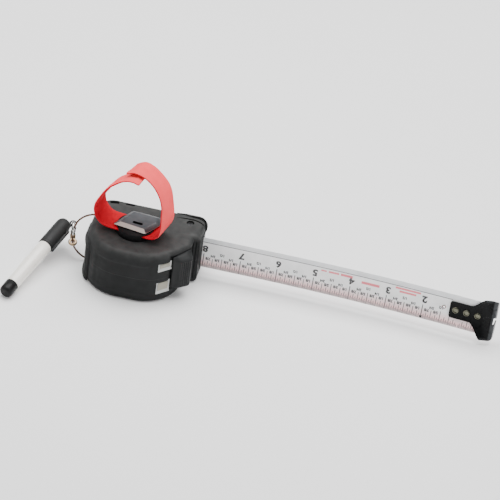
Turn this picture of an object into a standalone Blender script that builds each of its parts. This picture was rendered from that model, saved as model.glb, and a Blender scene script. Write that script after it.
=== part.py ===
"""Pocket tape measure lying on its side, blade drawn out, with a wrist strap and a marker pen.

Frame: origin on the spool axis, on the case's lower side face. +X runs along the blade
towards the end hook, +Y towards the flat base of the case, +Z up. The rest pose has the
blade drawn out about 200 mm and the pen lying beside the case on its wire loop.
Sizes below are millimetres; meshes are made in metres.
"""
import math

import bmesh
import bpy
from mathutils import Matrix, Vector

MM = 0.001
GAP = 0.3

# case outline: corner points and fillet radii, counter-clockwise seen from above
CASE_HEIGHT = 38.0
CASE_CORNERS = [
    (-32.3, 30.4, 12.0),
    (-32.3, -27.5, 26.9),
    (33.6, -27.5, 27.5),
    (33.6, 4.0, 1.0),
    (42.6, 7.6, 2.5),
    (42.6, 30.4, 6.0),
]
CORNER_STEPS = [4, 9, 9, 2, 3, 4]
JACKET = 1.5
SHELL = 1.8
TOP_FILLET = 5.5
BOTTOM_FILLET = 4.2
FOOT_TIGHTNESS = 0.3
FOOT_ZONE = (16.0, 24.0)
SPLIT_Z = CASE_HEIGHT / 2
FRONT_CENTRE = Vector((6.1, 0.0, 0.0))
FRONT_RADIUS = 27.5

# blade: 1 inch wide, curved in section, straight to BOW_START, then slightly bowed and twisted
BLADE_WIDTH = 24.6
BLADE_CROWN = 2.7
BLADE_THICK = 0.3
BLADE_Y = 19.3
BLADE_Z = 19.0
BLADE_START = 2.0
BLADE_END = 241.5
ZERO_S = 246.7
BOW_START = 80.0
BOW = math.radians(5.8)
TWIST = math.radians(8.0)
BOW_LENGTH = ZERO_S - BOW_START
RIVET_S = (219.0, 226.6, 234.4)
RIVET_RADIUS = 1.3

# spool
COIL_RADIUS = 17.5
DRUM_RADIUS = 10.6
POST_RADIUS = 2.8

# strap mount
BOSS_CENTRE = (-1.0, 0.0)
BOSS_RADIUS = 13.0
BOSS_TOP = 43.0
STRAP_TURN = math.radians(10.0)
STRAP_WIDTH = 18.5
STRAP_THICK = 1.4
STRAP_Z = 41.4
PLATE_Z = (43.3, 45.6)
PLATE_CORNERS = [
    (-15.6, -5.2, 1.0),
    (7.2, -9.2, 1.5),
    (14.6, 3.2, 1.5),
    (14.0, 12.0, 3.0),
    (-6.5, 13.6, 3.0),
    (-11.8, 2.6, 2.0),
]

# pen hanger and pen
LANYARD = Vector((-27.3, 6.0, 0.0))
WIRE_RADIUS = 0.55
FERRULE_CENTRE = Vector((-43.9, 6.0, 22.6))
FERRULE_AXIS = Vector((0.1, 0.0, 1.0))
FERRULE_RADIUS = 1.35
FERRULE_LENGTH = 6.0
CLASP_FOOT = Vector((-44.0, 6.6, 12.6))
CLASP_AXIS = Vector((-0.24, 0.93, 0.26))
CLASP_LOOP_CENTRE = 12.6
CLASP_LOOP_HALF = (2.7, 3.9)
CLASP_WIRE = 0.65
PEN_END = Vector((-75.2, -53.1, 4.38))
PEN_TOP = Vector((-52.8, 21.6, 16.7))
CAP_RADIUS = 5.35
CAP_LENGTH = 27.5
CAP_EYE_RISE = 1.6
CAP_EYE_SIDE = 4.7
BARREL_RADIUS = 4.9
PLUG_LENGTH = 9.5


# ---------------------------------------------------------------- scene helpers
def clear_scene():
    for old in list(bpy.data.objects):
        bpy.data.objects.remove(old, do_unlink=True)


def material(name, colour, roughness, metallic=0.0):
    mat = bpy.data.materials.new(name)
    mat.use_nodes = True
    shader = mat.node_tree.nodes["Principled BSDF"]
    shader.inputs["Base Color"].default_value = (*colour, 1.0)
    shader.inputs["Roughness"].default_value = roughness
    shader.inputs["Metallic"].default_value = metallic
    mat.diffuse_color = (*colour, 1.0)
    return mat


def add_object(name, bm, mat=None, origin=(0.0, 0.0, 0.0)):
    """Turn a bmesh in millimetres into an object whose origin sits at `origin`."""
    bmesh.ops.recalc_face_normals(bm, faces=bm.faces)
    bmesh.ops.translate(bm, verts=bm.verts, vec=-Vector(origin))
    bmesh.ops.scale(bm, verts=bm.verts, vec=(MM, MM, MM))
    mesh = bpy.data.meshes.new(name)
    bm.to_mesh(mesh)
    bm.free()
    mesh.shade_smooth()
    mesh.set_sharp_from_angle(angle=math.radians(35))
    obj = bpy.data.objects.new(name, mesh)
    obj.location = Vector(origin) * MM
    bpy.context.collection.objects.link(obj)
    if mat is not None:
        mesh.materials.append(mat)
    return obj


def add_cutter(name, bm):
    cutter = add_object(name, bm)
    cutter.hide_render = True
    cutter.display_type = "WIRE"
    return cutter


def boolean(obj, other, operation="DIFFERENCE"):
    modifier = obj.modifiers.new(other.name, "BOOLEAN")
    modifier.operation = operation
    modifier.object = other
    modifier.solver = "EXACT"


def merge(target, extra):
    """Copy the geometry of `extra` into `target` as a further closed shell."""
    copy = bpy.data.meshes.new("part")
    extra.to_mesh(copy)
    extra.free()
    target.from_mesh(copy)
    bpy.data.meshes.remove(copy)
    return target


def loft(loops, ring=False):
    """Closed skin over equal-sized loops, capped at both ends or closed into a ring."""
    bm = bmesh.new()
    rows = [[bm.verts.new(point) for point in loop] for loop in loops]
    pairs = list(zip(rows, rows[1:]))
    if ring:
        pairs.append((rows[-1], rows[0]))
    count = len(rows[0])
    for low, high in pairs:
        for i in range(count):
            j = (i + 1) % count
            bm.faces.new((low[i], low[j], high[j], high[i]))
    if not ring:
        bm.faces.new(rows[0])
        bm.faces.new(rows[-1])
    return bm


def prism(points, z_low, z_high):
    return loft([[(x, y, z) for x, y in points] for z in (z_low, z_high)])


def block(low, high):
    corners = [(low[0], low[1]), (high[0], low[1]), (high[0], high[1]), (low[0], high[1])]
    return prism(corners, low[2], high[2])


def circle(radius, steps, centre=(0.0, 0.0)):
    turns = [2 * math.pi * i / steps for i in range(steps)]
    return [(centre[0] + radius * math.cos(t), centre[1] + radius * math.sin(t)) for t in turns]


def turned(profile, steps=20, centre=(0.0, 0.0), ring=False):
    """Round body about a vertical axis from (radius, height) pairs."""
    loops = [[(x, y, z) for x, y in circle(radius, steps, centre)] for radius, z in profile]
    return loft(loops, ring)


def sector(centre, inner, outer, start, end, steps=6):
    """Ring-sector outline; angles in degrees."""
    angles = [math.radians(start + (end - start) * i / steps) for i in range(steps + 1)]
    points = [(centre.x + outer * math.cos(a), centre.y + outer * math.sin(a)) for a in angles]
    points += [(centre.x + inner * math.cos(a), centre.y + inner * math.sin(a)) for a in reversed(angles)]
    return points


def catmull_rom(around, t):
    """Point between the middle two of four control points."""
    a, b, c, d = around
    return 0.5 * (2 * b + (c - a) * t + (2 * a - 5 * b + 4 * c - d) * t ** 2
                  + (3 * b - a - 3 * c + d) * t ** 3)


def smooth_curve(points, steps):
    """Catmull-Rom curve through the points, `steps` spans between neighbours."""
    pts = [Vector(p) for p in points]
    padded = [2 * pts[0] - pts[1]] + pts + [2 * pts[-1] - pts[-2]]
    curve = []
    for around in zip(padded, padded[1:], padded[2:], padded[3:]):
        curve += [catmull_rom(around, k / steps) for k in range(steps)]
    curve.append(pts[-1])
    return curve


def tube(path, radius, sides=8, ring=False):
    """Round tube along a path, its frame carried along without twist."""
    count = len(path)
    loops = []
    normal = None
    for i, point in enumerate(path):
        ahead = path[(i + 1) % count] if ring or i < count - 1 else path[i]
        behind = path[i - 1] if ring or i > 0 else path[i]
        tangent = (ahead - behind).normalized()
        if normal is None:
            normal = tangent.orthogonal().normalized()
        normal = (normal - tangent * normal.dot(tangent)).normalized()
        side = tangent.cross(normal)
        turns = [2 * math.pi * k / sides for k in range(sides)]
        loops.append([point + radius * (math.cos(t) * normal + math.sin(t) * side) for t in turns])
    return loft(loops, ring)


def axes_at(base, direction, side=Vector((0.0, 0.0, 1.0))):
    """Matrix that puts +Z along `direction` and +X nearest to `side`, with its origin at `base`."""
    z_axis = direction.normalized()
    x_axis = (side - z_axis * side.dot(z_axis)).normalized()
    turn = Matrix((x_axis, z_axis.cross(x_axis), z_axis)).transposed().to_4x4()
    return Matrix.Translation(base) @ turn


def place(bm, base, direction, side=Vector((0.0, 0.0, 1.0))):
    """Move a body made about +Z onto another axis."""
    bm.transform(axes_at(base, direction, side))
    return bm


# ---------------------------------------------------------------- outlines
def inset_corners(corners, inset):
    """Move every edge of the corner polygon inwards and adapt the fillet radii."""
    count = len(corners)
    moved = []
    for i in range(count):
        before = Vector(corners[i - 1][:2])
        here = Vector(corners[i][:2])
        after = Vector(corners[(i + 1) % count][:2])
        edge_in = (here - before).normalized()
        edge_out = (after - here).normalized()
        turn = edge_in.x * edge_out.y - edge_in.y * edge_out.x
        normal_in = Vector((-edge_in.y, edge_in.x))
        normal_out = Vector((-edge_out.y, edge_out.x))
        corner = here + inset * (normal_in + normal_out) / (1 + normal_in.dot(normal_out))
        radius = corners[i][2] - inset if turn > 0 else corners[i][2] + inset
        moved.append((corner.x, corner.y, max(radius, 0.3)))
    return moved


def rounded(corners, steps):
    """Outline with an arc of `steps` spans at each corner."""
    count = len(corners)
    outline = []
    for i in range(count):
        before = Vector(corners[i - 1][:2])
        here = Vector(corners[i][:2])
        after = Vector(corners[(i + 1) % count][:2])
        radius = corners[i][2]
        edge_in = (here - before).normalized()
        edge_out = (after - here).normalized()
        turn = math.atan2(edge_in.x * edge_out.y - edge_in.y * edge_out.x, edge_in.dot(edge_out))
        side = 1 if turn > 0 else -1
        normal = side * Vector((-edge_in.y, edge_in.x))
        start = here - edge_in * radius * math.tan(abs(turn) / 2)
        centre = start + normal * radius
        for k in range(steps[i] + 1):
            angle = turn * k / steps[i]
            arm = Matrix.Rotation(angle, 2) @ (start - centre)
            outline.append((centre.x + arm.x, centre.y + arm.y))
    return outline


def case_loop(depth, inset, z):
    """Outline at a height; the fillet tightens towards the foot wall on the far side."""
    wide = rounded(inset_corners(CASE_CORNERS, inset), CORNER_STEPS)
    tight = rounded(inset_corners(CASE_CORNERS, depth + FOOT_TIGHTNESS * (inset - depth)), CORNER_STEPS)
    loop = []
    for far, near in zip(wide, tight):
        share = min(1.0, max(0.0, (near[1] - FOOT_ZONE[0]) / (FOOT_ZONE[1] - FOOT_ZONE[0])))
        loop.append((far[0] + share * (near[0] - far[0]), far[1] + share * (near[1] - far[1]), z))
    return loop


def skin_profile(depth, fillet, z_face, z_rim, spans=3):
    """(inset, height) pairs of the case surface at a given depth, from face to rim."""
    up = 1 if z_rim > z_face else -1
    pairs = []
    for k in range(spans + 1):
        angle = math.pi / 2 * (1 - k / spans)
        inset = fillet - (fillet - depth) * math.cos(angle)
        height = z_face + up * (fillet - (fillet - depth) * math.sin(angle))
        pairs.append((inset, height))
    pairs.append((depth, z_rim))
    return pairs


def cup(depth_out, depth_in, fillet, z_face, z_rim):
    outer = [case_loop(depth_out, inset, z) for inset, z in skin_profile(depth_out, fillet, z_face, z_rim)]
    inner = [case_loop(depth_in, inset, z) for inset, z in skin_profile(depth_in, fillet, z_face, z_rim)]
    bm = loft(outer + inner[::-1])
    bmesh.ops.triangulate(bm, faces=bm.faces)
    return bm


# ---------------------------------------------------------------- case
SCREW_SPOTS = [(-25.0, 22.4), (-18.5, -15.5), (19.5, -17.0), (34.0, 23.9)]
SLOT_Y = (16.1, 22.5)
SLOT_Z = (4.9, 33.1)
TOE_SCREW = (32.3, 21.4)
BORE_RADIUS = 2.7
BORE_TOP = 4.0
POST_WALL = 2.3
SLOT_X = (30.0, 46.0)
LOCK_SLOT = ((26.0, -9.6, 13.6), (36.0, 2.9, 24.4))
LANYARD_BORE = 1.5
WIRE_NOTCH = [(-26.2, 4.2), (-26.2, 7.8), (-36.0, 12.4), (-36.0, -0.4)]
WIRE_NOTCH_TOP = 3.75
WINDOW_TURN = math.radians(-45.5)
WINDOW_CUT = (24.0, 30.0, 5.0)
WINDOW_PANEL = (26.05, 26.6, 4.6)
WINDOW_HEIGHTS = {"lower": (6.6, 16.0), "upper": (25.0, 31.4)}


def make_cutters():
    """Openings shared by the jackets and the shells."""
    slot = block((SLOT_X[0], SLOT_Y[0], SLOT_Z[0]), (SLOT_X[1], SLOT_Y[1], SLOT_Z[1]))
    merge(slot, block(*LOCK_SLOT))
    slots = add_cutter("cut_slots", slot)
    hole = prism(circle(LANYARD_BORE, 12, LANYARD[:2]), -1.0, CASE_HEIGHT + 1.0)
    lanyard = add_cutter("cut_lanyard", hole)
    relief = add_cutter("cut_relief", prism(WIRE_NOTCH, -1.0, WIRE_NOTCH_TOP))
    return slots, lanyard, relief


def window_outline(inner, outer, half_width):
    """Rectangle across the front wall, square to the radius at 45 degrees."""
    radial = Vector((math.cos(WINDOW_TURN), math.sin(WINDOW_TURN)))
    along = Vector((-radial.y, radial.x))
    centre = FRONT_CENTRE.xy
    corners = [(inner, -half_width), (outer, -half_width), (outer, half_width), (inner, half_width)]
    return [tuple(centre + radial * r + along * a) for r, a in corners]


def make_jackets(rubber, cutters):
    slots, lanyard, relief = cutters
    lower = add_object("jacket_lower", cup(0.0, JACKET, BOTTOM_FILLET, 0.0, SPLIT_Z - 0.15), rubber)
    upper = add_object("jacket_upper", cup(0.0, JACKET, TOP_FILLET, CASE_HEIGHT, SPLIT_Z + 0.15), rubber)
    for half, level in ((lower, "lower"), (upper, "upper")):
        z_low, z_high = WINDOW_HEIGHTS[level]
        opening = prism(window_outline(*WINDOW_CUT), z_low, z_high)
        boolean(half, add_cutter("cut_window_" + level, opening))
        boolean(half, slots)
        boolean(half, lanyard)
    boolean(lower, relief)
    bores = prism(circle(BORE_RADIUS, 12, SCREW_SPOTS[0]), -1.0, BORE_TOP)
    for spot in SCREW_SPOTS[1:]:
        merge(bores, prism(circle(BORE_RADIUS, 12, spot), -1.0, BORE_TOP))
    boolean(lower, add_cutter("cut_bores", bores))
    top_hole = prism(circle(2.9, 14, TOE_SCREW), CASE_HEIGHT - JACKET - 0.2, CASE_HEIGHT + 1.0)
    boolean(upper, add_cutter("cut_toe_screw", top_hole))
    return lower, upper


def make_shells(plastic, cutters):
    slots, lanyard, relief = cutters
    depth_out = JACKET + GAP
    depth_in = depth_out + SHELL
    lower = add_object("shell_lower", cup(depth_out, depth_in, BOTTOM_FILLET, 0.0, SPLIT_Z - 0.15), plastic)
    upper = add_object("shell_upper", cup(depth_out, depth_in, TOP_FILLET, CASE_HEIGHT, SPLIT_Z + 0.15), plastic)
    add_posts(lower, "lower", depth_in - 0.5, SPLIT_Z - 0.15)
    add_posts(upper, "upper", SPLIT_Z + 0.15, CASE_HEIGHT - depth_in + 0.5)
    bores = prism(circle(1.35, 10, SCREW_SPOTS[0]), -1.0, 26.0)
    for spot in SCREW_SPOTS[1:]:
        merge(bores, prism(circle(1.35, 10, spot), -1.0, 26.0))
    bore_cutter = add_cutter("cut_screw_holes", bores)
    for half in (lower, upper):
        boolean(half, bore_cutter)
        boolean(half, slots)
        boolean(half, lanyard)
    boolean(lower, relief)
    short_hole = prism(circle(1.2, 10, TOE_SCREW), 30.0, CASE_HEIGHT)
    boolean(upper, add_cutter("cut_guide_screw", short_hole))
    return lower, upper


def add_posts(shell, level, z_low, z_high):
    """Screw posts inside a shell, joined to it by a union."""
    posts = prism(circle(POST_WALL, 12, SCREW_SPOTS[0]), z_low, z_high)
    for spot in SCREW_SPOTS[1:]:
        merge(posts, prism(circle(POST_WALL, 12, spot), z_low, z_high))
    boolean(shell, add_cutter("join_posts_" + level, posts), "UNION")


def make_windows(pale):
    for level, (z_low, z_high) in WINDOW_HEIGHTS.items():
        panel = prism(window_outline(*WINDOW_PANEL), z_low + 0.4, z_high - 0.4)
        add_object("window_" + level, panel, pale)


def make_case_screws(steel):
    """Four countersunk screws that enter from the lower side."""
    for number, spot in enumerate(SCREW_SPOTS, 1):
        profile = [(2.3, 0.5), (2.3, 1.2), (1.0, 1.7), (1.0, 24.0)]
        add_object("case_screw_%d" % number, turned(profile, 12, spot), steel)
    top = CASE_HEIGHT
    short = turned([(2.5, top - 0.5), (2.5, top - 1.3), (0.9, top - 1.7), (0.9, top - 4.3)], 12, TOE_SCREW)
    add_object("mouth_guide_screw", short, steel)


TOE_FACE_Y = 30.7


def make_toe_bumper(rubber):
    """Thick rubber heel outside the base-front corner."""
    centre = Vector((36.6, 24.4, 0.0))
    inner = [(21.0, TOE_FACE_Y)]
    outer = []
    for k in range(7):
        turn = math.radians(90 - 15 * k)
        inner.append((centre.x + 6.3 * math.cos(turn), centre.y + 6.3 * math.sin(turn)))
        reach = 7.2 + 0.9 * math.sin(turn) ** 4
        outer.append((centre.x + reach * math.cos(turn), centre.y + reach * math.sin(turn)))
    far_edge = [(21.4, 31.2), (24.0, 32.2), (28.0, 32.5)]
    outline = inner + outer[::-1] + far_edge[::-1]
    levels = [(0.6, 3.0), (0.0, 4.0), (0.0, 35.8), (0.6, 37.2)]
    loops = []
    for shrink, z in levels:
        loops.append([(x, y - shrink * (y - TOE_FACE_Y) / 4.0, z) for x, y in outline])
    add_object("toe_bumper", loft(loops), rubber)


PAD_THICK = 1.7
PAD_Z = (1.0, 30.0)


def make_rear_grip(rubber, relief):
    """Raised arch-topped pad round the rear of the case."""
    centre = Vector(CASE_CORNERS[1][:2]) + Vector((CASE_CORNERS[1][2], CASE_CORNERS[1][2]))
    radius = CASE_CORNERS[1][2]
    angles = [math.radians(180 + 7 * k) for k in range(6)]
    outer = [(CASE_CORNERS[1][0] - PAD_THICK, 15.0)]
    inner = [(CASE_CORNERS[1][0] - GAP, 15.0)]
    for a in angles:
        outer.append((centre.x + (radius + PAD_THICK) * math.cos(a), centre.y + (radius + PAD_THICK) * math.sin(a)))
        inner.append((centre.x + (radius + GAP) * math.cos(a), centre.y + (radius + GAP) * math.sin(a)))
    pad = add_object("rear_grip_pad", prism(outer + inner[::-1], *PAD_Z), rubber)
    boolean(pad, relief)


def make_mouth_guide(plastic):
    """Rectangular lining of the blade slot."""
    rows = []
    for grow, x in ((1.0, 35.0), (1.0, 43.2), (0.0, 43.2), (0.0, 35.0)):
        y_low, y_high = 17.3 - grow, 21.3 + grow
        z_low, z_high = 6.1 - grow, 31.9 + grow
        rows.append([(x, y_low, z_low), (x, y_high, z_low), (x, y_high, z_high), (x, y_low, z_high)])
    add_object("mouth_guide", loft(rows, ring=True), plastic)


# ---------------------------------------------------------------- spool and blade
def make_spool(metal, plastic, spring_steel, blade_paint):
    floor = JACKET + GAP + SHELL
    post = turned([(5.0, floor + 0.3), (5.0, 5.0), (POST_RADIUS, 5.2), (POST_RADIUS, 32.6), (2.0, 33.6)], 16)
    post_obj = add_object("spool_post", post, metal)
    boolean(post_obj, add_cutter("cut_post_slit", block((-4.0, -0.4, 8.0), (4.0, 0.4, 40.0))))
    rim = DRUM_RADIUS
    drum_profile = [(3.2, 5.6), (rim, 5.6), (rim, 32.0), (rim - 1.2, 32.0), (rim - 1.2, 6.8), (3.2, 6.8)]
    add_object("spool_drum", turned(drum_profile, 24, ring=True), plastic)
    coil_profile = [(10.9, 6.4), (COIL_RADIUS, 6.4), (COIL_RADIUS, 31.6), (10.9, 31.6)]
    add_object("wound_blade", turned(coil_profile, 36, ring=True), blade_paint)
    add_object("return_spring", spiral(3.7, 8.9, 3.5, 0.35, 7.4, 30.6), spring_steel)


def spiral(inner, outer, turns, thick, z_low, z_high, per_turn=16):
    """Flat strip wound into a spiral, standing on edge."""
    count = int(turns * per_turn)
    rows = []
    for i in range(count + 1):
        turn = 2 * math.pi * i / per_turn
        radius = inner + (outer - inner) * i / count
        ray = (math.cos(turn), math.sin(turn))
        low, high = radius, radius + thick
        rows.append([(low * ray[0], low * ray[1], z_low), (high * ray[0], high * ray[1], z_low),
                     (high * ray[0], high * ray[1], z_high), (low * ray[0], low * ray[1], z_high)])
    return loft(rows)


def blade_frame(s):
    """Centre, direction, across-axis and viewer-side normal of the blade at distance s."""
    past = max(0.0, s - BOW_START)
    bow = BOW * past / BOW_LENGTH
    twist = TWIST * past / BOW_LENGTH
    radius = BOW_LENGTH / BOW
    centre = Vector((min(s, BOW_START) + radius * math.sin(bow),
                     BLADE_Y - radius * (1 - math.cos(bow)), BLADE_Z))
    direction = Vector((math.cos(bow), -math.sin(bow), 0.0))
    face = Vector((-math.sin(bow), -math.cos(bow), 0.0))
    up = Vector((0.0, 0.0, 1.0))
    across = math.cos(twist) * up - math.sin(twist) * face
    normal = math.cos(twist) * face + math.sin(twist) * up
    return centre, direction, across, normal


def blade_point(s, w, n):
    """Point at distance s, w across from the middle line, n above the curved mid-surface."""
    centre, _, across, normal = blade_frame(s)
    rise = BLADE_CROWN * ((2 * w / BLADE_WIDTH) ** 2 - 0.5)
    return centre + across * w + normal * (rise + n)


def blade_stations():
    stations = [BLADE_START, 42.0, BOW_START]
    spans = 14
    stations += [BOW_START + (BLADE_END - BOW_START) * k / spans for k in range(1, spans + 1)]
    return stations


def ribbon(rows_of):
    """Closed sheet from a function giving front and back rows at each station."""
    return loft([front + back[::-1] for front, back in rows_of])


def make_blade(paint):
    columns = [BLADE_WIDTH * (k / 8 - 0.5) for k in range(9)]
    half = BLADE_THICK / 2
    rows = []
    for s in blade_stations():
        front = [blade_point(s, w, half) for w in columns]
        back = [blade_point(s, w, -half) for w in columns]
        rows.append((front, back))
    blade = add_object("blade", ribbon(rows), paint)
    boolean(blade, add_cutter("cut_blade_holes", rivet_bores(RIVET_RADIUS + 0.15, 0.0)))
    return blade


def stand_on_blade(s, bm):
    """Stand a body made about +Z on the blade at distance s, +Z along its normal."""
    centre, direction, across, normal = blade_frame(s)
    base = centre - normal * BLADE_CROWN / 2
    turn = Matrix((direction, across, normal)).transposed().to_4x4()
    bm.transform(Matrix.Translation(base) @ turn)
    return bm


def rivet_bores(radius, slack):
    """Holes for the rivets; `slack` lengthens them towards the case."""
    outline = [(x - slack if x < 0 else x, y) for x, y in circle(radius, 12)]
    bores = bmesh.new()
    for s in RIVET_S:
        merge(bores, stand_on_blade(s, prism(outline, -4.0, 4.0)))
    return bores


HOOK_NEAR = 214.8
HOOK_HALF = 6.2
HOOK_WING = 15.4
HOOK_CLEAR = 0.35
HOOK_THICK = 0.8
HOOK_LIFT = 1.2
FOLD_S = 243.6
FOLD_RADIUS = 3.2
LIP_LENGTH = 4.2


def hook_half_width(s):
    """Half width of the hook plate: narrow tongue, flare, then the wide head."""
    if s < HOOK_NEAR + 2.0:
        return HOOK_HALF - 1.2 * (1 - (s - HOOK_NEAR) / 2.0) ** 2
    if s < 230.0:
        return HOOK_HALF
    if s < 238.0:
        blend = (s - 230.0) / 8.0
        return HOOK_HALF + (HOOK_WING - HOOK_HALF) * blend ** 1.3
    return HOOK_WING


def hook_point(s, w, n):
    """Point of the hook sheet; past FOLD_S the sheet turns away from the viewer."""
    flat = min(1.0, max(0.0, (s - 238.5) / 5.0))
    centre, direction, across, normal = blade_frame(min(s, FOLD_S))
    rise = BLADE_CROWN * ((2 * w / BLADE_WIDTH) ** 2 - 0.5) * (1 - flat)
    height = rise + BLADE_THICK / 2 + HOOK_CLEAR + HOOK_THICK * n + HOOK_LIFT * flat
    past = s - FOLD_S
    if past <= 0:
        return centre + across * w + normal * height
    arc = FOLD_RADIUS * math.pi / 2
    turn = min(past, arc) / FOLD_RADIUS
    arm = FOLD_RADIUS + HOOK_THICK * (n - 1)
    shift = math.sin(turn) * arm
    drop = FOLD_RADIUS - math.cos(turn) * arm
    extra = max(0.0, past - arc)
    top = HOOK_LIFT + BLADE_THICK / 2 + HOOK_CLEAR
    return centre + across * w + direction * shift + normal * (top - drop - extra + HOOK_THICK)


def hook_stations():
    narrow = [HOOK_NEAR, HOOK_NEAR + 0.7, HOOK_NEAR + 2.0, 222.8, 230.0]
    flare = [232.0, 234.0, 236.0, 238.0, 241.0, FOLD_S]
    arc = FOLD_RADIUS * math.pi / 2
    fold = [FOLD_S + arc * k / 4 for k in range(1, 5)]
    lip = [FOLD_S + arc + LIP_LENGTH * 0.6, FOLD_S + arc + LIP_LENGTH]
    return narrow + flare + fold + lip


def make_hook(paint):
    rows = []
    last = hook_stations()[-1]
    for s in hook_stations():
        half = hook_half_width(s)
        if s > last - 2.0:
            half -= 1.6
        columns = [half * (k / 4 - 1) for k in range(9)]
        front = [hook_point(s, w, 1.0) for w in columns]
        back = [hook_point(s, w, 0.0) for w in columns]
        rows.append((front, back))
    hook = add_object("end_hook", ribbon(rows), paint)
    boolean(hook, add_cutter("cut_hook_slots", rivet_bores(RIVET_RADIUS + 0.15, 1.3)))
    return hook


def make_rivets(metal):
    """Rivet: tail behind the blade, shank through both sheets, domed head in front."""
    half = BLADE_THICK / 2
    tail = -half - GAP
    seat = half + HOOK_CLEAR + HOOK_THICK + GAP
    profile = [(2.1, tail - 0.6), (2.1, tail), (RIVET_RADIUS, tail), (RIVET_RADIUS, seat),
               (2.4, seat), (2.4, seat + 0.35), (1.4, seat + 0.9)]
    for number, s in enumerate(RIVET_S, 1):
        add_object("hook_rivet_%d" % number, stand_on_blade(s, turned(profile, 12)), metal)


# ---------------------------------------------------------------- lock
THUMB_Z = (9.2, 31.4)
THUMB_TURN = (-34.0, -8.5)
THUMB_RIDGE = [(2.0, -34.0), (4.2, -28.0), (6.6, -21.0), (8.1, -15.6), (7.9, -12.0), (6.4, -8.5)]


def make_lock(plastic, rubber):
    """Thumb piece on the front slope, with a stem and an arm that reaches to the blade."""
    thumb = sector(FRONT_CENTRE, FRONT_RADIUS + 0.4, FRONT_RADIUS + 1.6, *THUMB_TURN, 6)
    outer = []
    for rise, degrees in THUMB_RIDGE:
        reach = FRONT_RADIUS + rise
        turn = math.radians(degrees)
        outer.append((FRONT_CENTRE.x + reach * math.cos(turn), FRONT_CENTRE.y + reach * math.sin(turn)))
    outline = outer + thumb[len(thumb) // 2:]
    lock = add_object("lock_slider", prism(outline, *THUMB_Z), plastic, origin=FRONT_CENTRE)
    stem = prism(sector(FRONT_CENTRE, 21.0, FRONT_RADIUS + 1.2, -16.5, -9.5, 2), 14.4, 23.6)
    arm = prism(sector(FRONT_CENTRE, 20.0, 22.4, -16.0, 32.0, 10), 14.9, 23.1)
    boolean(lock, add_cutter("join_lock_stem", stem), "UNION")
    boolean(lock, add_cutter("join_lock_arm", arm), "UNION")
    shoe = prism(sector(FRONT_CENTRE, 19.6, 22.8, 32.8, 37.4, 2), 13.0, 25.0)
    add_object("lock_brake_shoe", shoe, rubber, origin=FRONT_CENTRE)


# ---------------------------------------------------------------- strap
def make_strap_mount(plastic, grey, steel):
    boss = add_object("strap_boss", prism(circle(BOSS_RADIUS, 28, BOSS_CENTRE), 38.3, BOSS_TOP), plastic)
    tunnel = block((-20.0, -STRAP_WIDTH / 2 - 0.6, 40.3), (20.0, STRAP_WIDTH / 2 + 0.6, 42.5))
    tunnel.transform(Matrix.Translation((*BOSS_CENTRE, 0.0)) @ Matrix.Rotation(-STRAP_TURN, 4, "Z"))
    boolean(boss, add_cutter("cut_tunnel", tunnel))
    flat = rounded(PLATE_CORNERS, [2] * 6)
    edge = rounded(inset_corners(PLATE_CORNERS, 0.9), [2] * 6)
    low, high = PLATE_Z
    plate = loft([[(x, y, low) for x, y in flat], [(x, y, high - 0.9) for x, y in flat],
                  [(x, y, high) for x, y in edge]])
    plate_obj = add_object("strap_plate", plate, grey)
    boolean(plate_obj, add_cutter("cut_plate_hole", prism(circle(3.0, 16), low + 1.1, high + 1.0)))
    boolean(plate_obj, add_cutter("cut_plate_bore", prism(circle(1.5, 12), low - 1.0, high)))
    boolean(boss, add_cutter("cut_boss_bore", prism(circle(1.3, 12), 42.0, BOSS_TOP + 1.0)))
    screw = turned([(2.6, high - 0.5), (2.6, low + 1.4), (1.0, low + 1.2), (1.0, 42.7)], 14)
    add_object("plate_screw", screw, steel)


STRAP_ROUTE = [
    # along, height, sideways shift, roll (near edge up), yaw (far edge forward), in degrees
    (3.3, 83.6, -3.5, 6.0, 7.0),
    (-0.6, 83.7, -3.4, 7.0, 5.0),
    (-6.9, 81.5, -3.3, 8.0, 3.0),
    (-13.8, 76.5, -3.0, 10.0, 3.0),
    (-17.7, 72.2, -2.6, 6.0, 5.0),
    (-22.1, 65.1, -2.0, 0.0, 5.0),
    (-26.2, 57.2, -1.6, 0.0, 0.0),
    (-26.5, 51.7, -1.5, 0.0, 0.0),
    (-24.6, 46.6, -1.3, 0.0, 0.0),
    (-19.5, 42.3, -1.0, 0.0, 0.0),
    (-10.0, STRAP_Z, -0.3, 0.0, 0.0),
    (0.0, STRAP_Z, 0.0, 0.0, 0.0),
    (9.0, STRAP_Z, 0.0, 0.0, 0.0),
    (15.5, 42.2, 0.0, 0.0, 0.0),
    (20.0, 45.8, 0.2, 0.0, 4.0),
    (21.8, 50.5, 0.3, 0.0, 7.0),
    (21.8, 55.8, 0.6, 0.0, 7.0),
    (20.9, 61.5, 1.0, 0.0, 4.0),
    (19.3, 69.3, 1.8, 0.0, 0.0),
    (16.3, 75.8, 2.6, 4.0, 0.0),
    (11.0, 81.6, 3.0, 7.5, 0.0),
    (4.7, 85.5, 3.4, 7.0, 0.0),
    (-2.3, 86.9, 3.5, 6.0, 3.0),
    (-8.3, 84.2, 3.5, 9.5, 5.0),
]


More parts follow.
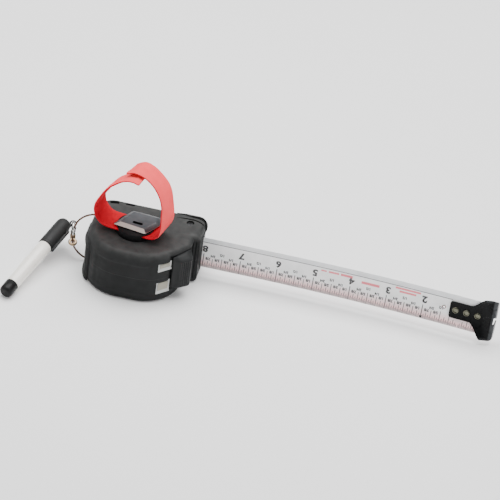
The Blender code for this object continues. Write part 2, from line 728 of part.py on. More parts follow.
def make_strap(fabric):
    """Open loop of webbing: under the plate, up both sides, ends lapped at the top."""
    turn = Matrix.Rotation(-STRAP_TURN, 3, "Z")
    path = smooth_curve([Vector(stop) for stop in STRAP_ROUTE], 3)
    half_w = STRAP_WIDTH / 2
    half_t = STRAP_THICK / 2
    rows = []
    for i, (along, height, shift, roll, yaw) in enumerate(path):
        ahead = path[min(i + 1, len(path) - 1)]
        behind = path[max(i - 1, 0)]
        tangent = Vector((ahead[0] - behind[0], 0.0, ahead[1] - behind[1])).normalized()
        tilt = math.radians(roll)
        across = Vector((math.sin(math.radians(yaw)), math.cos(tilt), -math.sin(tilt)))
        across = (across - tangent * across.dot(tangent)).normalized()
        out = across.cross(tangent).normalized()
        centre = Vector((along, shift, height))
        foot = Vector((*BOSS_CENTRE, 0.0))
        rows.append([foot + turn @ (centre + across * a * half_w + out * b * half_t)
                     for a, b in ((-1, -1), (1, -1), (1, 1), (-1, 1))])
    add_object("strap", loft(rows), fabric)


# ---------------------------------------------------------------- pen hanger
WIRE_ROUTE = [
    (-27.3, 6.0, 2.0), (-27.3, 6.0, 10.0), (-27.3, 6.0, 19.0), (-27.3, 6.0, 28.0), (-27.3, 6.0, 36.0),
    (-28.6, 6.0, 39.2), (-32.0, 6.0, 39.3), (-37.5, 6.0, 36.2), (-42.0, 6.0, 30.6), (-44.0, 6.0, 23.0),
    (-44.2, 6.0, 15.5), (-42.4, 6.0, 9.0), (-38.0, 6.0, 4.2), (-33.0, 6.0, 1.9), (-29.0, 6.0, 0.95),
]


def closed_curve(points, steps):
    """Closed Catmull-Rom curve through the points."""
    pts = [Vector(p) for p in points]
    count = len(pts)
    curve = []
    for i in range(count):
        around = [pts[(i + k) % count] for k in (-1, 0, 1, 2)]
        curve += [catmull_rom(around, k / steps) for k in range(steps)]
    return curve


def make_wire(bronze, brass):
    path = closed_curve(WIRE_ROUTE, 3)
    add_object("wire_loop", tube(path, WIRE_RADIUS, 8, ring=True), bronze, origin=LANYARD)
    inner = WIRE_RADIUS + GAP
    half = FERRULE_LENGTH / 2
    profile = [(inner, -half), (FERRULE_RADIUS, -half), (FERRULE_RADIUS, half), (inner, half)]
    ferrule = place(turned(profile, 12, ring=True), FERRULE_CENTRE, FERRULE_AXIS, Vector((1.0, 0.0, 0.0)))
    add_object("wire_ferrule", ferrule, brass, origin=LANYARD)


def oval(half_x, half_z, centre_z, start, end, steps):
    """Points on an ellipse in the XZ plane; 0 degrees at +X, 90 degrees at the far end of Z."""
    points = []
    for k in range(steps + 1):
        turn = math.radians(start + (end - start) * k / steps)
        points.append(Vector((half_x * math.cos(turn), 0.0, centre_z + half_z * math.sin(turn))))
    return points


def make_clasp(brass, silver, bronze):
    """Swivel eye on the wire and an open hook whose lower side is closed by a sprung gate."""
    eye = tube(oval(2.3, 2.3, 0.0, 0, 360, 16)[:-1], 0.6, 6, ring=True)
    eye = place(eye, CLASP_FOOT, CLASP_AXIS, Vector((1.0, 0.0, 0.0)))
    swivel = add_object("clasp_swivel", eye, brass, origin=CLASP_FOOT)
    neck = turned([(1.0, 2.2), (1.0, 3.4), (1.9, 3.8), (1.9, 6.6), (1.3, 7.2)], 12)
    boolean(swivel, add_cutter("join_neck", place(neck, CLASP_FOOT, CLASP_AXIS)), "UNION")

    half_x, half_z = CLASP_LOOP_HALF
    hook = tube(oval(half_x, half_z, CLASP_LOOP_CENTRE, -80, 158, 12), CLASP_WIRE, 8)
    body = add_object("clasp_body", place(hook, CLASP_FOOT, CLASP_AXIS), silver, origin=CLASP_FOOT)
    collar = turned([(1.2, 7.6), (1.55, 8.0), (1.55, 9.4), (1.0, 9.8)], 12)
    boolean(body, add_cutter("join_collar", place(collar, CLASP_FOOT, CLASP_AXIS)), "UNION")

    arc = oval(half_x, half_z, CLASP_LOOP_CENTRE, 172, 220, 4)
    hinge = axes_at(CLASP_FOOT, CLASP_AXIS) @ arc[-1]
    gate = place(tube(arc, CLASP_WIRE - 0.15, 8), CLASP_FOOT, CLASP_AXIS)
    add_object("clasp_gate", gate, bronze, origin=hinge)


# ---------------------------------------------------------------- pen
def pen_place(bm):
    """Pen parts are made about +Z with the plug end at 0 and the cap end at the top."""
    return place(bm, PEN_END, PEN_TOP - PEN_END)


def circle_about_x(radius, y, z, steps=16):
    """Circle in the YZ plane round a point of it."""
    return [Vector((0.0, y + a, z + b)) for a, b in circle(radius, steps)]


def make_pen(black, cream, fibre, white):
    length = (PEN_TOP - PEN_END).length
    mouth = length - CAP_LENGTH
    r = CAP_RADIUS
    outside = [(r - 3.8, length), (r - 2.4, length - 0.3), (r - 0.9, length - 1.6),
               (r - 0.1, length - 4.5), (r + 0.05, mouth + 8), (r, mouth)]
    bore = [(r - 0.75, mouth), (r - 0.8, length - 5.0), (r - 1.5, length - 3.6), (0.8, length - 3.2)]
    cap = add_object("pen_cap", pen_place(turned(outside + bore, 20)), black, origin=PEN_TOP)
    bar = block((-0.9, r + 0.9, mouth - 2.0), (0.9, r + 1.8, length - 6.6))
    root = block((-1.2, r - 0.5, length - 9.6), (1.2, r + 1.7, length - 6.8))
    eye = tube(circle_about_x(2.0, CAP_EYE_SIDE, length + CAP_EYE_RISE), 0.55, 6, ring=True)
    lug = block((-0.8, CAP_EYE_SIDE - 3.1, length - 2.8), (0.8, CAP_EYE_SIDE + 0.5, length - 0.1))
    for name, extra in (("clip_bar", bar), ("clip_root", root), ("cap_eye", eye), ("cap_lug", lug)):
        boolean(cap, add_cutter("join_" + name, pen_place(extra)), "UNION")

    b = BARREL_RADIUS
    barrel = [(b - 0.45, PLUG_LENGTH + 0.3), (b - 0.05, 28.0), (b + 0.1, mouth - 0.3), (b - 0.7, mouth + 0.2),
              (b - 0.7, mouth + 8.0), (3.2, mouth + 8.0), (3.2, PLUG_LENGTH + 0.3)]
    add_object("pen_barrel", pen_place(turned(barrel, 20, ring=True)), cream, origin=PEN_TOP)
    plug = [(b - 1.6, 0.0), (b - 0.7, 0.4), (b - 0.3, 1.4), (b - 0.3, PLUG_LENGTH), (2.8, PLUG_LENGTH),
            (2.8, PLUG_LENGTH + 4.0)]
    add_object("pen_plug", pen_place(turned(plug, 20)), black, origin=PEN_TOP)
    reservoir = turned([(2.7, PLUG_LENGTH + 4.4), (2.7, mouth + 4.5)], 12)
    add_object("pen_ink_reservoir", pen_place(reservoir), fibre, origin=PEN_TOP)
    holder = [(1.1, mouth + 4.9), (2.9, mouth + 4.9), (2.9, mouth + 8.3), (3.6, mouth + 8.3),
              (2.0, mouth + 14.0), (1.1, mouth + 14.0)]
    add_object("pen_nib_holder", pen_place(turned(holder, 14, ring=True)), white, origin=PEN_TOP)
    nib = turned([(0.8, mouth + 5.2), (0.8, mouth + 15.6), (0.35, mouth + 17.0)], 10)
    add_object("pen_nib", pen_place(nib), fibre, origin=PEN_TOP)


def main():
    clear_scene()
    rubber = material("black_rubber", (0.035, 0.037, 0.04), 0.55)
    black = material("black_plastic", (0.03, 0.03, 0.033), 0.4)
    pale = material("light_grey_plastic", (0.5, 0.5, 0.5), 0.4)
    steel = material("screw_steel", (0.45, 0.45, 0.46), 0.35, 1.0)
    tape = material("blade_coating", (0.66, 0.67, 0.68), 0.4)
    hook_paint = material("black_enamel", (0.02, 0.02, 0.022), 0.35)
    rivet_metal = material("nickel", (0.62, 0.6, 0.52), 0.3, 1.0)
    plate_grey = material("plate_plastic", (0.14, 0.15, 0.17), 0.4)
    webbing = material("red_webbing", (0.75, 0.06, 0.08), 0.8)
    bronze = material("bronze_wire", (0.25, 0.16, 0.1), 0.4, 1.0)
    brass = material("brass", (0.62, 0.5, 0.36), 0.4, 1.0)
    silver = material("silver", (0.7, 0.7, 0.7), 0.25, 1.0)
    cream = material("pen_barrel_plastic", (0.85, 0.83, 0.79), 0.35)
    fibre = material("ink_fibre", (0.05, 0.05, 0.06), 0.9)
    white = material("white_plastic", (0.85, 0.85, 0.85), 0.4)

    cutters = make_cutters()
    make_jackets(rubber, cutters)
    make_shells(pale, cutters)
    make_windows(pale)
    make_case_screws(steel)
    make_toe_bumper(rubber)
    make_rear_grip(rubber, cutters[2])
    make_mouth_guide(black)
    make_spool(steel, black, steel, tape)
    make_blade(tape)
    make_hook(hook_paint)
    make_rivets(rivet_metal)
    make_lock(black, rubber)
    make_strap_mount(black, plate_grey, steel)
    make_strap(webbing)
    make_wire(bronze, brass)
    make_clasp(brass, silver, bronze)
    make_pen(black, cream, fibre, white)


main()
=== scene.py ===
"""Looks of the pocket tape measure: case, printed blade, hook, wrist strap, wire hanger and pen.

Every length below is in millimetres in the frame's own axes; meshes are made in metres.
"""
import math

import bmesh
import bpy
from mathutils import Matrix, Vector


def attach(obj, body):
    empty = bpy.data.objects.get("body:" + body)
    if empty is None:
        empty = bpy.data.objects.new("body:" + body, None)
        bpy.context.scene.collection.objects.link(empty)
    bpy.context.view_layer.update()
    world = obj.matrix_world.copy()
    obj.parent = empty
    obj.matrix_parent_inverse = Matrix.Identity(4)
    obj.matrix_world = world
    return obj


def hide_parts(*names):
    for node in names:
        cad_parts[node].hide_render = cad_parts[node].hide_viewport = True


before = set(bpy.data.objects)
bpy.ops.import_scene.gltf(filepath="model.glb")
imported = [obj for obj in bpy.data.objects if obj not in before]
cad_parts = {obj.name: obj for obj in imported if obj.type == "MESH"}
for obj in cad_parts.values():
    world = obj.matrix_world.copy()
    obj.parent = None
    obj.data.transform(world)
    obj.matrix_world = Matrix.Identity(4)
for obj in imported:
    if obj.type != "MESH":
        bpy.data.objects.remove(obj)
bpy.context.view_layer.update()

MM = 0.001


# ================================================================ camera and stage
CAMERA_PLACE = (334.903, -1971.979, 1519.015)
CAMERA_AZIMUTH = math.radians(-7.435)
CAMERA_DIP = math.radians(36.596)
CAMERA_ROLL = math.radians(7.624)
CAMERA_LENS = 267.2
SENSOR = 36.0


def make_camera():
    az, dip, roll = CAMERA_AZIMUTH, CAMERA_DIP, CAMERA_ROLL
    ahead = Vector((math.sin(az) * math.cos(dip), math.cos(az) * math.cos(dip), -math.sin(dip)))
    level = Vector((math.cos(az), -math.sin(az), 0.0))
    above = level.cross(ahead)
    right = math.cos(roll) * level + math.sin(roll) * above
    up = -math.sin(roll) * level + math.cos(roll) * above
    data = bpy.data.cameras.new("camera")
    data.lens = CAMERA_LENS
    data.sensor_width = SENSOR
    data.clip_end = 20.0
    camera = bpy.data.objects.new("camera", data)
    turn = Matrix((right, up, -ahead)).transposed().to_4x4()
    camera.matrix_world = Matrix.Translation(Vector(CAMERA_PLACE) * MM) @ turn
    bpy.context.scene.collection.objects.link(camera)
    bpy.context.scene.camera = camera


def area_light(name, place, target, size, power, colour=(1.0, 1.0, 1.0)):
    data = bpy.data.lights.new(name, "AREA")
    data.shape = "RECTANGLE"
    data.size, data.size_y = size
    data.energy = power
    data.color = colour
    light = bpy.data.objects.new(name, data)
    light.location = place
    light.rotation_euler = (Vector(target) - Vector(place)).to_track_quat("-Z", "Y").to_euler()
    bpy.context.scene.collection.objects.link(light)


def make_lights():
    area_light("softbox_top", (0.05, 0.25, 1.1), (0.05, 0.0, 0.0), (1.3, 0.9), 30.0)
    area_light("softbox_left", (-1.1, -0.5, 0.7), (0.0, 0.0, 0.02), (0.7, 0.7), 4.0)
    area_light("softbox_right", (1.2, -0.6, 0.6), (0.1, 0.0, 0.02), (0.6, 0.8), 4.5)
    world = bpy.data.worlds.new("studio")
    world.use_nodes = True
    shade = world.node_tree.nodes["Background"]
    shade.inputs["Color"].default_value = (1.0, 1.0, 1.0, 1.0)
    shade.inputs["Strength"].default_value = 0.5
    bpy.context.scene.world = world


# ================================================================ material helpers
def new_material(name, colour, roughness, metallic=0.0, **sockets):
    mat = bpy.data.materials.new(name)
    mat.use_nodes = True
    shader = mat.node_tree.nodes["Principled BSDF"]
    shader.inputs["Base Color"].default_value = (*colour, 1.0)
    shader.inputs["Roughness"].default_value = roughness
    shader.inputs["Metallic"].default_value = metallic
    for key, value in sockets.items():
        shader.inputs[key.replace("_", " ")].default_value = value
    return mat, mat.node_tree, shader


def add_node(tree, kind, settings=None, **sockets):
    node = tree.nodes.new(kind)
    for key, value in (settings or {}).items():
        setattr(node, key, value)
    for key, value in sockets.items():
        socket = node.inputs[key.replace("_", " ")]
        if isinstance(value, bpy.types.NodeSocket):
            tree.links.new(value, socket)
        else:
            socket.default_value = value
    return node


def place_coords(tree, stretch=(1.0, 1.0, 1.0), kind="Object"):
    coords = add_node(tree, "ShaderNodeTexCoord").outputs[kind]
    return add_node(tree, "ShaderNodeMapping", Vector=coords, Scale=stretch).outputs["Vector"]


def noise(tree, scale, detail=3.0, stretch=(1.0, 1.0, 1.0), kind="Object"):
    """Noise with `scale` cells in a metre; returns its value socket."""
    coords = place_coords(tree, stretch, kind)
    node = add_node(tree, "ShaderNodeTexNoise", Vector=coords, Scale=scale, Detail=detail)
    return node.outputs["Fac"]


def ramp(tree, value, stops):
    """Colour ramp over (position, colour) stops."""
    node = add_node(tree, "ShaderNodeValToRGB", Fac=value)
    band = node.color_ramp
    while len(band.elements) < len(stops):
        band.elements.new(0.5)
    for element, (position, colour) in zip(band.elements, stops):
        element.position = position
        element.color = (*colour, 1.0)
    return node.outputs["Color"]


def remap(tree, value, low, high, start=0.0, end=1.0):
    node = add_node(tree, "ShaderNodeMapRange", Value=value)
    for key, number in (("From Min", start), ("From Max", end), ("To Min", low), ("To Max", high)):
        node.inputs[key].default_value = number
    return node.outputs["Result"]


def math_node(tree, operation, first, second=0.0):
    node = tree.nodes.new("ShaderNodeMath")
    node.operation = operation
    for socket, value in zip(node.inputs, (first, second)):
        if isinstance(value, bpy.types.NodeSocket):
            tree.links.new(value, socket)
        else:
            socket.default_value = value
    return node.outputs["Value"]


def mix_colour(tree, factor, first, second, mode="MIX"):
    node = tree.nodes.new("ShaderNodeMix")
    node.data_type = "RGBA"
    node.blend_type = mode
    for index, value in ((0, factor), (6, first), (7, second)):
        if isinstance(value, bpy.types.NodeSocket):
            tree.links.new(value, node.inputs[index])
        elif index == 0:
            node.inputs[index].default_value = value
        else:
            node.inputs[index].default_value = (*value, 1.0)
    return node.outputs[2]


def add_bump(tree, shader, height, strength, distance):
    node = add_node(tree, "ShaderNodeBump", Height=height, Strength=strength, Distance=distance * MM)
    if shader.inputs["Normal"].is_linked:
        tree.links.new(shader.inputs["Normal"].links[0].from_socket, node.inputs["Normal"])
    tree.links.new(node.outputs["Normal"], shader.inputs["Normal"])


def scaled(colour, factor):
    return tuple(min(1.0, c * factor) for c in colour)


def edge_wear(tree):
    """About 1 on worn outer edges, 0 elsewhere."""
    pointy = add_node(tree, "ShaderNodeNewGeometry").outputs["Pointiness"]
    return remap(tree, pointy, 0.0, 1.0, 0.53, 0.62)


def moulded(name, colour, roughness, grain=900.0, depth=0.05, spread=0.14, wear=0.0, **sockets):
    """Moulded plastic or rubber: cloudy tone, fine moulded grain, uneven gloss."""
    mat, tree, shader = new_material(name, colour, roughness, **sockets)
    cloud = noise(tree, 55.0, 4.0)
    tone = ramp(tree, cloud, [(0.3, scaled(colour, 1 - spread)), (0.7, scaled(colour, 1 + spread))])
    if wear:
        tone = mix_colour(tree, math_node(tree, "MULTIPLY", edge_wear(tree), wear), tone, scaled(colour, 3.2))
    tree.links.new(tone, shader.inputs["Base Color"])
    patches = noise(tree, 130.0, 2.0)
    gloss = remap(tree, patches, roughness - 0.07, roughness + 0.09, 0.3, 0.7)
    tree.links.new(gloss, shader.inputs["Roughness"])
    add_bump(tree, shader, noise(tree, grain, 2.0), 0.55, depth)
    return mat


def metal(name, colour, roughness, brushed=(1.0, 1.0, 1.0), grain=1500.0, depth=0.01, tarnish=0.25):
    """Metal with a tarnished tone and fine drawn or cast grain."""
    mat, tree, shader = new_material(name, colour, roughness, 1.0)
    stain = noise(tree, 400.0, 4.0)
    tone = ramp(tree, stain, [(0.32, scaled(colour, 1 - tarnish)), (0.66, scaled(colour, 1 + tarnish / 2))])
    tree.links.new(tone, shader.inputs["Base Color"])
    scratch = noise(tree, grain, 3.0, brushed)
    tree.links.new(remap(tree, scratch, roughness - 0.08, roughness + 0.12, 0.3, 0.7), shader.inputs["Roughness"])
    add_bump(tree, shader, scratch, 0.4, depth)
    return mat


# ================================================================ mesh helpers
def piece(name, bm, mats, body, replaces=(), sharp=35.0, solidify=None):
    """Turn a bmesh in millimetres into a piece that rides on a body."""
    bmesh.ops.remove_doubles(bm, verts=bm.verts, dist=0.0005)
    bmesh.ops.recalc_face_normals(bm, faces=bm.faces)
    bmesh.ops.scale(bm, verts=bm.verts, vec=(MM, MM, MM))
    mesh = bpy.data.meshes.new(name)
    bm.to_mesh(mesh)
    bm.free()
    mesh.shade_smooth()
    mesh.set_sharp_from_angle(angle=math.radians(sharp))
    obj = bpy.data.objects.new(name, mesh)
    bpy.context.scene.collection.objects.link(obj)
    for mat in (mats if isinstance(mats, (list, tuple)) else [mats]):
        mesh.materials.append(mat)
    if body:
        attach(obj, body)
    if replaces:
        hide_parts(*replaces)
    return obj


def cut(obj, cutters, sharp=35.0):
    """Subtract closed bmeshes from a piece and apply the result."""
    for number, bm in enumerate(cutters):
        tool = piece("cutter", bm, [], None)
        modifier = obj.modifiers.new("cut%d" % number, "BOOLEAN")
        modifier.operation = "DIFFERENCE"
        modifier.object = tool
        modifier.solver = "EXACT"
    bpy.context.view_layer.update()
    graph = bpy.context.evaluated_depsgraph_get()
    result = bpy.data.meshes.new_from_object(obj.evaluated_get(graph))
    tools = [m.object for m in obj.modifiers]
    obj.modifiers.clear()
    old = obj.data
    obj.data = result
    bpy.data.meshes.remove(old)
    for tool in tools:
        bpy.data.objects.remove(tool, do_unlink=True)
    result.shade_smooth()
    result.set_sharp_from_angle(angle=math.radians(sharp))
    return obj


def soften(obj, width, segments=2, angle=35.0):
    """Bevel the hard edges of a piece and apply it."""
    modifier = obj.modifiers.new("bevel", "BEVEL")
    modifier.width = width * MM
    modifier.segments = segments
    modifier.limit_method = "ANGLE"
    modifier.angle_limit = math.radians(angle)
    modifier.harden_normals = False
    bpy.context.view_layer.update()
    graph = bpy.context.evaluated_depsgraph_get()
    result = bpy.data.meshes.new_from_object(obj.evaluated_get(graph))
    obj.modifiers.clear()
    obj.data = result
    result.shade_smooth()
    result.set_sharp_from_angle(angle=math.radians(40))
    return obj


def loft(loops, ring=False, caps=True, closed=True):
    """Skin over equal-sized loops of points."""
    bm = bmesh.new()
    rows = [[bm.verts.new(point) for point in loop] for loop in loops]
    pairs = list(zip(rows, rows[1:]))
    if ring:
        pairs.append((rows[-1], rows[0]))
    count = len(rows[0])
    for low, high in pairs:
        for i in range(count if closed else count - 1):
            j = (i + 1) % count
            bm.faces.new((low[i], low[j], high[j], high[i]))
    if caps and not ring:
        bm.faces.new(rows[0])
        bm.faces.new(rows[-1])
    return bm


def merge(target, extra):
    copy = bpy.data.meshes.new("part")
    extra.to_mesh(copy)
    extra.free()
    target.from_mesh(copy)
    bpy.data.meshes.remove(copy)
    return target


def prism(points, z_low, z_high):
    return loft([[(x, y, z) for x, y in points] for z in (z_low, z_high)])


def block(low, high):
    corners = [(low[0], low[1]), (high[0], low[1]), (high[0], high[1]), (low[0], high[1])]
    return prism(corners, low[2], high[2])


def circle(radius, steps, centre=(0.0, 0.0)):
    turns = [2 * math.pi * i / steps for i in range(steps)]
    return [(centre[0] + radius * math.cos(t), centre[1] + radius * math.sin(t)) for t in turns]


def turned(profile, steps=48, centre=(0.0, 0.0), ring=False):
    loops = [[(x, y, z) for x, y in circle(radius, steps, centre)] for radius, z in profile]
    return loft(loops, ring)


def smooth_profile(points, steps=4):
    """Catmull-Rom curve through points of any size."""
    pts = [Vector(p) for p in points]
    padded = [2 * pts[0] - pts[1]] + pts + [2 * pts[-1] - pts[-2]]
    curve = []
    for around in zip(padded, padded[1:], padded[2:], padded[3:]):
        curve += [catmull_rom(around, k / steps) for k in range(steps)]
    curve.append(pts[-1])
    return curve


def catmull_rom(around, t):
    a, b, c, d = around
    return 0.5 * (2 * b + (c - a) * t + (2 * a - 5 * b + 4 * c - d) * t ** 2
                  + (3 * b - a - 3 * c + d) * t ** 3)


def closed_curve(points, steps):
    pts = [Vector(p) for p in points]
    curve = []
    for i in range(len(pts)):
        around = [pts[(i + k) % len(pts)] for k in (-1, 0, 1, 2)]
        curve += [catmull_rom(around, k / steps) for k in range(steps)]
    return curve


def tube(path, radius, sides=16, ring=False):
    """Tube along a path; radius is a number or a function of (step, angle)."""
    count = len(path)
    loops = []
    normal = None
    for i, point in enumerate(path):
        ahead = path[(i + 1) % count] if ring or i < count - 1 else path[i]
        behind = path[i - 1] if ring or i > 0 else path[i]
        tangent = (ahead - behind).normalized()
        if normal is None:
            normal = tangent.orthogonal().normalized()
        normal = (normal - tangent * normal.dot(tangent)).normalized()
        side = tangent.cross(normal)
        loop = []
        for k in range(sides):
            t = 2 * math.pi * k / sides
            reach = radius(i, t) if callable(radius) else radius
            loop.append(point + reach * (math.cos(t) * normal + math.sin(t) * side))
        loops.append(loop)
    return loft(loops, ring)


def axes_at(base, direction, side=Vector((0.0, 0.0, 1.0))):
    z_axis = direction.normalized()
    x_axis = (side - z_axis * side.dot(z_axis)).normalized()
    turn = Matrix((x_axis, z_axis.cross(x_axis), z_axis)).transposed().to_4x4()
    return Matrix.Translation(base) @ turn


def smoothstep(low, high, value):
    t = min(1.0, max(0.0, (value - low) / (high - low)))
    return t * t * (3 - 2 * t)


def window(low, high, soft, value):
    """1 between low and high, falling to 0 over `soft` on both sides."""
    return smoothstep(low - soft, low, value) * (1 - smoothstep(high, high + soft, value))


def groove(centre, width, value):
    """1 at the middle of a groove, 0 outside its width."""
    t = abs(value - centre) / (width / 2)
    return 0.0 if t >= 1 else 0.5 + 0.5 * math.cos(math.pi * t)


# ================================================================ case
CASE_HEIGHT = 38.0
CASE_CORNERS = [
    (-32.3, 30.4, 12.0),
    (-32.3, -27.5, 26.9),
    (33.6, -27.5, 27.5),
    (33.6, 4.0, 1.0),
    (42.6, 7.6, 2.5),
    (42.6, 30.4, 6.0),
]
ARC_STEPS = [16, 52, 54, 6, 8, 14]
EDGE_STEPS = [14, 8, 4, 14, 16, 46]
JACKET = 1.5
TOP_FILLET = 5.5
BOTTOM_FILLET = 3.0
SPLIT_Z = CASE_HEIGHT / 2
SEAM = 0.02
REAR_CENTRE = (-5.4, -0.6)
FRONT_CENTRE = (6.1, 0.0)
FRONT_RADIUS = 27.5
SCREW_SPOTS = [(-25.0, 22.4), (-18.5, -15.5), (19.5, -17.0), (34.0, 23.9)]
TOE_SCREW = (32.3, 21.4)
LANYARD = (-27.3, 6.0)
WIRE_NOTCH = [(-26.2, 4.2), (-26.2, 7.8), (-36.0, 12.4), (-36.0, -0.4)]
PAD_LOW = 0.7
PAD_HIGH = 30.0
BROW_LOW = 34.5
WINDOWS = {"lower": (6.6, 16.0), "upper": (25.0, 31.4)}
WINDOW_TURN = math.radians(-45.5)


def inset_corners(corners, inset):
    count = len(corners)
    moved = []
    for i in range(count):
        before = Vector(corners[i - 1][:2])
        here = Vector(corners[i][:2])
        after = Vector(corners[(i + 1) % count][:2])
        edge_in = (here - before).normalized()
        edge_out = (after - here).normalized()
        turn = edge_in.x * edge_out.y - edge_in.y * edge_out.x
        normal_in = Vector((-edge_in.y, edge_in.x))
        normal_out = Vector((-edge_out.y, edge_out.x))
        corner = here + inset * (normal_in + normal_out) / (1 + normal_in.dot(normal_out))
        radius = corners[i][2] - inset if turn > 0 else corners[i][2] + inset
        moved.append((corner.x, corner.y, max(radius, 0.3)))
    return moved


def rounded(corners, arc_steps, edge_steps=None):
    """(x, y) outline with an arc at each corner and divided straight edges."""
    count = len(corners)
    arcs = []
    for i in range(count):
        before = Vector(corners[i - 1][:2])
        here = Vector(corners[i][:2])
        after = Vector(corners[(i + 1) % count][:2])
        radius = corners[i][2]
        edge_in = (here - before).normalized()
        edge_out = (after - here).normalized()
        turn = math.atan2(edge_in.x * edge_out.y - edge_in.y * edge_out.x, edge_in.dot(edge_out))
        side = 1 if turn > 0 else -1
        start = here - edge_in * radius * math.tan(abs(turn) / 2)
        centre = start + side * Vector((-edge_in.y, edge_in.x)) * radius
        steps = arc_steps[i]
        arcs.append([centre + Matrix.Rotation(turn * k / steps, 2) @ (start - centre) for k in range(steps + 1)])
    outline = []
    for i, arc in enumerate(arcs):
        outline += arc
        goal = arcs[(i + 1) % count][0]
        spans = edge_steps[i] if edge_steps else 1
        outline += [arc[-1].lerp(goal, k / spans) for k in range(1, spans)]
    return outline


def outline_normals(outline):
    count = len(outline)
    normals = []
    for i in range(count):
        along = (outline[(i + 1) % count] - outline[i - 1]).normalized()
        normals.append(Vector((along.y, -along.x)))
    return normals


def front_angle(x, y):
    return math.degrees(math.atan2(y - FRONT_CENTRE[1], x - FRONT_CENTRE[0]))


def rear_angle(x, y):
    return math.degrees(math.atan2(y - REAR_CENTRE[1], x - REAR_CENTRE[0])) % 360


def panel_mask(x, y, z):
    """1 inside the sunk front panel, whose upper rear corner is rounded."""
    if y > 0:
        return 0.0
    if x < REAR_CENTRE[0]:
        along = (rear_angle(x, y) - 270.0) / 57.3 * 26.9
    elif x < FRONT_CENTRE[0]:
        along = x - REAR_CENTRE[0]
    else:
        along = 11.5 + (front_angle(x, y) + 90.0) / 57.3 * FRONT_RADIUS
    left = along + 18.8
    right = 22.5 - along
    top = 30.6 - z
    bottom = z - 4.6
    corner = 5.0
    if left < corner and top < corner:
        edge = corner - math.hypot(corner - left, corner - top)
    else:
        edge = min(left, right, top, bottom)
    return smoothstep(0.0, 2.4, edge)


def wall_relief(x, y, z):
    """Depth of the moulded detail on the side wall."""
    depth = 0.34 * panel_mask(x, y, z)
    if x > FRONT_CENTRE[0] and y < 4.0:
        turn = front_angle(x, y)
        pocket = window(-37.0, -5.0, 1.4, turn) * window(7.6, 34.6, 0.6, z)
        depth = max(depth, 1.05 * pocket)
    if x > 33.0 and y < 10.5:
        ribs = sum(groove(centre, 1.3, x + 0.35 * y) for centre in (37.6, 39.9, 42.2, 44.5))
        depth += 0.55 * min(1.0, ribs) * window(4.5, 33.5, 1.5, z)
    if y > 28.0:
        ribs = sum(groove(centre, 1.6, z) for centre in (8.0, 11.0, 27.0, 30.0))
        depth += 0.5 * min(1.0, ribs) * window(-20.0, 16.0, 3.0, x)
    return depth


BROW = [(-15.0, 0.0), (-12.0, 0.9), (-9.9, 1.6), (-6.9, 2.6), (-4.2, 3.6), (-2.0, 5.0), (0.5, 5.3), (6.2, 5.3)]


def brow(spot, inset):
    """How far the shoulder spreads over the lock to meet the nose."""
    if not -15.0 < spot.y < 6.2 + inset or spot.x < 20.0:
        return 0.0
    wall = FRONT_CENTRE[0] + math.sqrt(FRONT_RADIUS ** 2 - min(0.0, spot.y) ** 2) - inset
    goal = wall + along_stops(BROW, min(spot.y, 6.2))
    return max(0.0, goal - spot.x) * (1 - smoothstep(2.5, 6.2, inset))


def jacket_rows(upper):
    """(inset, height, slope) of the outer skin from the seam to the flat face."""
    face = CASE_HEIGHT if upper else 0.0
    sign = 1 if upper else -1
    fillet = TOP_FILLET if upper else BOTTOM_FILLET
    rim = SPLIT_Z + sign * SEAM
    rows = []
    wall_end = face - sign * fillet
    spans = 30
    rows.append((0.04, rim, 0.0))
    for k in range(spans):
        rows.append((0.0, rim + (wall_end - rim) * (k + 0.35) / spans, 0.0))
    arc = 14
    for k in range(arc + 1):
        turn = math.pi / 2 * k / arc
        rows.append((fillet * (1 - math.cos(turn)), wall_end + sign * fillet * math.sin(turn), turn))
    for inset in (6.2, 7.0, 8.0):
        rows.append((inset, face, math.pi / 2))
    return rows


def tightened(depth, inset):
    """Case outline at an inset, with the fillet drawn in tight along the foot wall and the toe."""
    wide = rounded(inset_corners(CASE_CORNERS, inset), ARC_STEPS, EDGE_STEPS)
    tight = rounded(inset_corners(CASE_CORNERS, depth + 0.3 * (inset - depth)), ARC_STEPS, EDGE_STEPS)
    outline = []
    for far, near in zip(wide, tight):
        share = smoothstep(15.0, 24.0, near.y)
        outline.append(far.lerp(near, share))
    return outline


